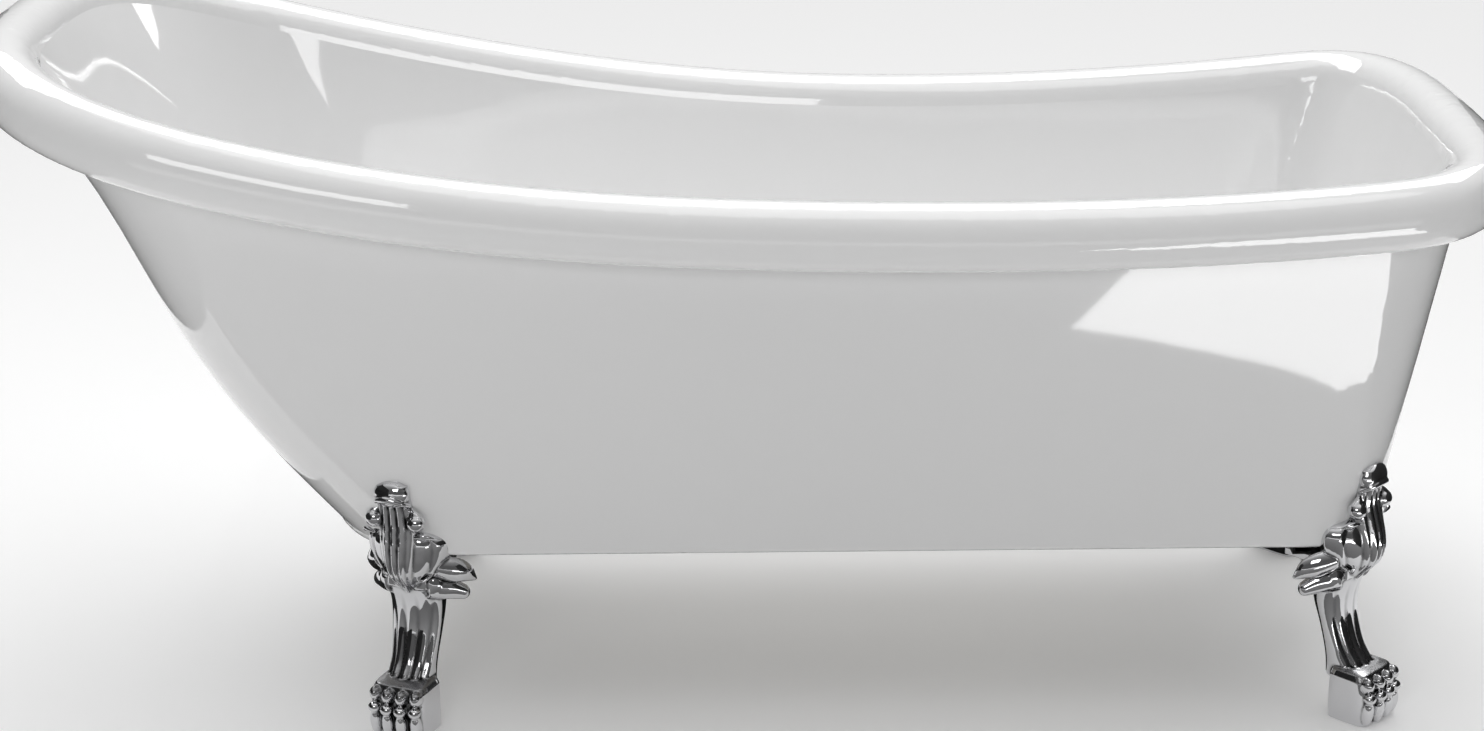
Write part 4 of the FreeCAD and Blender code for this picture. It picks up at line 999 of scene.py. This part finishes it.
    def scroll(self, form: Casting, side: int) -> None:
        """Adds one side's ball with its pointed cap, the rim of the petal under it and the eye.

        Args:
            form: the casting that they join.
            side: 1 for the foot's left, -1 for its right.
        """
        out = self.lean(257)
        form.ball((out + 6, side * 26, 257), (10.5, 10.5, 10.5))
        form.limb(
            [(out + 5, side * 29, 260), (out + 5, side * 25, 267), (out + 3, side * 21, 273)],
            [7.0, 4.6, 1.0],
            [7.5, 5.0, 1.2],
        )
        form.limb(
            [(out - 2, side * 44, 238), (out + 7, side * 36, 243), (out + 10, side * 24, 241)],
            [2.0, 3.4, 1.5],
            [2.0, 3.4, 1.5],
        )
        eye_height, eye_share, eye_wire = 188, 0.74, 1.7
        across = side * eye_share * self.shape.petal_width.at(eye_height)
        eye = Vector((self.petal_at(eye_share, eye_height) + 1.6, across, eye_height))
        swing = Matrix.Rotation(side * math.radians(36), 3, "Z")
        tilt = swing @ Matrix.Rotation(side * math.radians(38), 3, "X")
        form.loop(eye, tilt, (9.5, 4.0), eye_wire)

    def wings(self, form: Casting) -> None:
        """Adds the two lobes each side that sweep back under the bath's edge.

        Args:
            form: the casting that they join.
        """
        for side in (-1, 1):
            form.limb(
                [
                    (-6, side * 34, 196),
                    (-17, side * 48, 190),
                    (-28, side * 58, 183),
                    (-39, side * 66, 172),
                ],
                [13, 15, 12, 2],
                [10, 10, 8, 2],
                power=1.5,
            )
            form.limb(
                [(-8, side * 22, 168), (-19, side * 38, 165), (-31, side * 53, 158)],
                [13, 13.5, 9],
                [12, 11, 8],
            )
            form.ball((-31, side * 53, 158), (8.0, 8.0, 9.0))
            root_lean = Matrix.Rotation(side * math.radians(20), 4, "X")
            form.ball((-12, side * 27, 172), (13, 13, 17), root_lean)

    def paw(self, form: Casting) -> None:
        """Adds the block of the paw, open underneath for its levelling pad, and the toes.

        Args:
            form: the casting that they join.
        """
        heel, front, half, top = self.PAW
        centre = (heel + front) / 2
        bore, bore_top, recess, recess_top = 5.6, 48.6, 19.0, 24
        axis, sides = self.PAD_OUT, 64

        def around(
            x: float, half_x: float, half_y: float, power: float, height: float
        ) -> list[Point]:
            """Gives a level ring.

            Args:
                x: its middle.
                half_x: half size along X.
                half_y: half size along Y.
                power: 2 gives an oval, more a rounded box.
                height: its level.

            Returns:
                Its corners.
            """
            ring = []
            for k in range(sides):
                turn = 2 * math.pi * k / sides
                reach = rounded(turn, power)
                out = x + half_x * reach * math.cos(turn)
                ring.append((out, half_y * reach * math.sin(turn), height))
            return ring

        deep = (front - heel) / 2
        form.loft(
            [
                around(axis, bore, bore, 2, bore_top),
                around(axis, bore, bore, 2, recess_top),
                around(axis, recess, recess, 2, recess_top),
                around(axis, recess, recess, 2, 0),
                around(centre, deep, half, 6, 0),
                around(centre, deep + 0.6, half + 0.8, 6, 18),
                around(centre, deep + 0.6, half + 1.2, 6, 40),
                around(centre - 1, deep - 1, half + 0.6, 6, top - 7),
                around(centre - 2, deep - 3, half - 2.5, 5, top),
                around(centre - 6, deep - 9, half - 9, 4, top + 2),
            ]
        )
        toe_pitch, knuckle_lean, claw_lean = 17.0, math.radians(-25), math.radians(6)
        for place in (-1.5, -0.5, 0.5, 1.5):
            across = place * toe_pitch
            toe = front - (3.0 * abs(place) - 1.5)
            form.ball((toe, across, 50.5), (9.5, 7.2, 9.0), Matrix.Rotation(knuckle_lean, 4, "Y"))
            form.ball((toe + 5.5, across, 35.5), (7.0, 7.6, 6.4))
            form.ball((toe + 3, across, 17.5), (7.5, 6.8, 17.0), Matrix.Rotation(claw_lean, 4, "Y"))

    def mounting(self, form: Casting) -> None:
        """Adds the ledge under the bath's edge and the tongue under the cross rail.

        Args:
            form: the casting that they join.
        """
        form.slab((-18, -24, 168), (4, 24, self.LEVEL))
        form.slab((-84, -18, 173.2), (-16, 18, 182.8))

    def cast(self) -> bpy.types.Mesh:
        """Melts the foot's forms into one skin and marks its hollows for dulling and painted shade.

        Returns:
            The casting in millimetres, standing on its own axes.
        """
        form = Casting()
        for part in (self.shank, self.leaf, self.wings, self.paw, self.mounting):
            part(form)
        mesh = form.melt(f"casting_{self.end}", self.voxel, rounds=4)
        creases = hollowness(mesh, reach=12, full_depth=0.7)
        folds = hollowness(mesh, reach=45, full_depth=2.5) * 0.8
        height = np.array([vertex.co.z for vertex in mesh.vertices])
        facing_up = np.array([vertex.normal.z for vertex in mesh.vertices])
        # polish hardly reaches the paw's flat top, between the toes and the shank, so it is dulled
        # there; its darkening there is painted shade
        low, high, upwards, top_dull_and_shade_level = 52, 68, 0.45, 0.55
        on_paw = (height > low) & (height < high) & (facing_up > upwards)
        paw_top_dull_and_shade = np.where(on_paw, top_dull_and_shade_level, 0.0)
        values = np.clip(np.maximum(np.maximum(creases, folds), paw_top_dull_and_shade), 0, 1)
        # this mask makes the chrome rougher and darkens its colour as painted shade
        mesh.attributes.new("hollow_dullness_and_shade", "FLOAT", "POINT").data.foreach_set("value", values)
        for face in mesh.polygons:
            face.use_smooth = True
        mesh.materials.clear()
        return mesh

    def build(
        self, casting: bpy.types.Mesh, side: str, chrome: bpy.types.Material
    ) -> bpy.types.Object:
        """Puts a copy of the casting at one side and hides the CAD foot that it stands for.

        Args:
            casting: the end's casting, in millimetres.
            side: left or right.
            chrome: its finish.

        Returns:
            The foot, in place on its body.
        """
        name = f"cast_foot_{self.end}_{side}"
        mesh = casting.copy()
        mesh.name = name
        pad_low, pad_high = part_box(f"leveller_pad_{self.end}_{side}")
        middle = (pad_low + pad_high) / 2
        turn = self.TURN[self.end] * (1 if side == "left" else -1)
        facing = Matrix.Rotation(math.radians(turn), 4, "Z")
        edge = Vector((middle.x, middle.y, 0)) - facing @ Vector((self.PAD_OUT * MM, 0, 0))
        mesh.transform(Matrix.Translation(edge) @ facing @ Matrix.Diagonal((MM, MM, MM, 1.0)))
        mesh.materials.append(chrome)
        foot = bpy.data.objects.new(name, mesh)
        bpy.context.scene.collection.objects.link(foot)
        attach(foot, "tub")
        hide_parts(f"claw_foot_{self.end}_{side}")
        log.info("%s: %d faces", name, len(mesh.polygons))
        return foot


# ---------------------------------------------------------------- finishes onto the CAD nodes


def dress(
    nodes: dict[str, bpy.types.Object],
    slots: dict[str, str],
    finishes: dict[str, bpy.types.Material],
) -> None:
    """Gives every carried-over CAD node its finish.

    Args:
        nodes: CAD objects by node name.
        slots: material slot by node name.
        finishes: material by slot name.
    """
    for name, thing in nodes.items():
        finish = finishes[slots[name]]
        if not thing.material_slots:
            thing.data.materials.append(finish)
        for place in thing.material_slots:
            place.material = finish
        log.info("node %s: %s", name, finish.name)


def main() -> None:
    """Builds the whole scene."""
    logging.basicConfig(level=logging.INFO, format="%(name)s: %(message)s")
    finishes = {slot.value: finish.material() for slot, finish in FINISHES.items()}
    slots = {row["node"]: row["material_slot"] for row in frame["record"]["subparts"]}
    dress(frame["nodes"], slots, finishes)
    for end in ("head", "drain"):
        foot = ClawFoot(end)
        casting = foot.cast()
        for side in ("left", "right"):
            foot.build(casting, side, finishes[Slot.CHROME.value])
        bpy.data.meshes.remove(casting)
    Camera().build()
    Studio().build()
    bpy.context.scene.view_settings.view_transform = "Standard"
    bpy.context.view_layer.update()


if __name__ == "__main__":
    main()
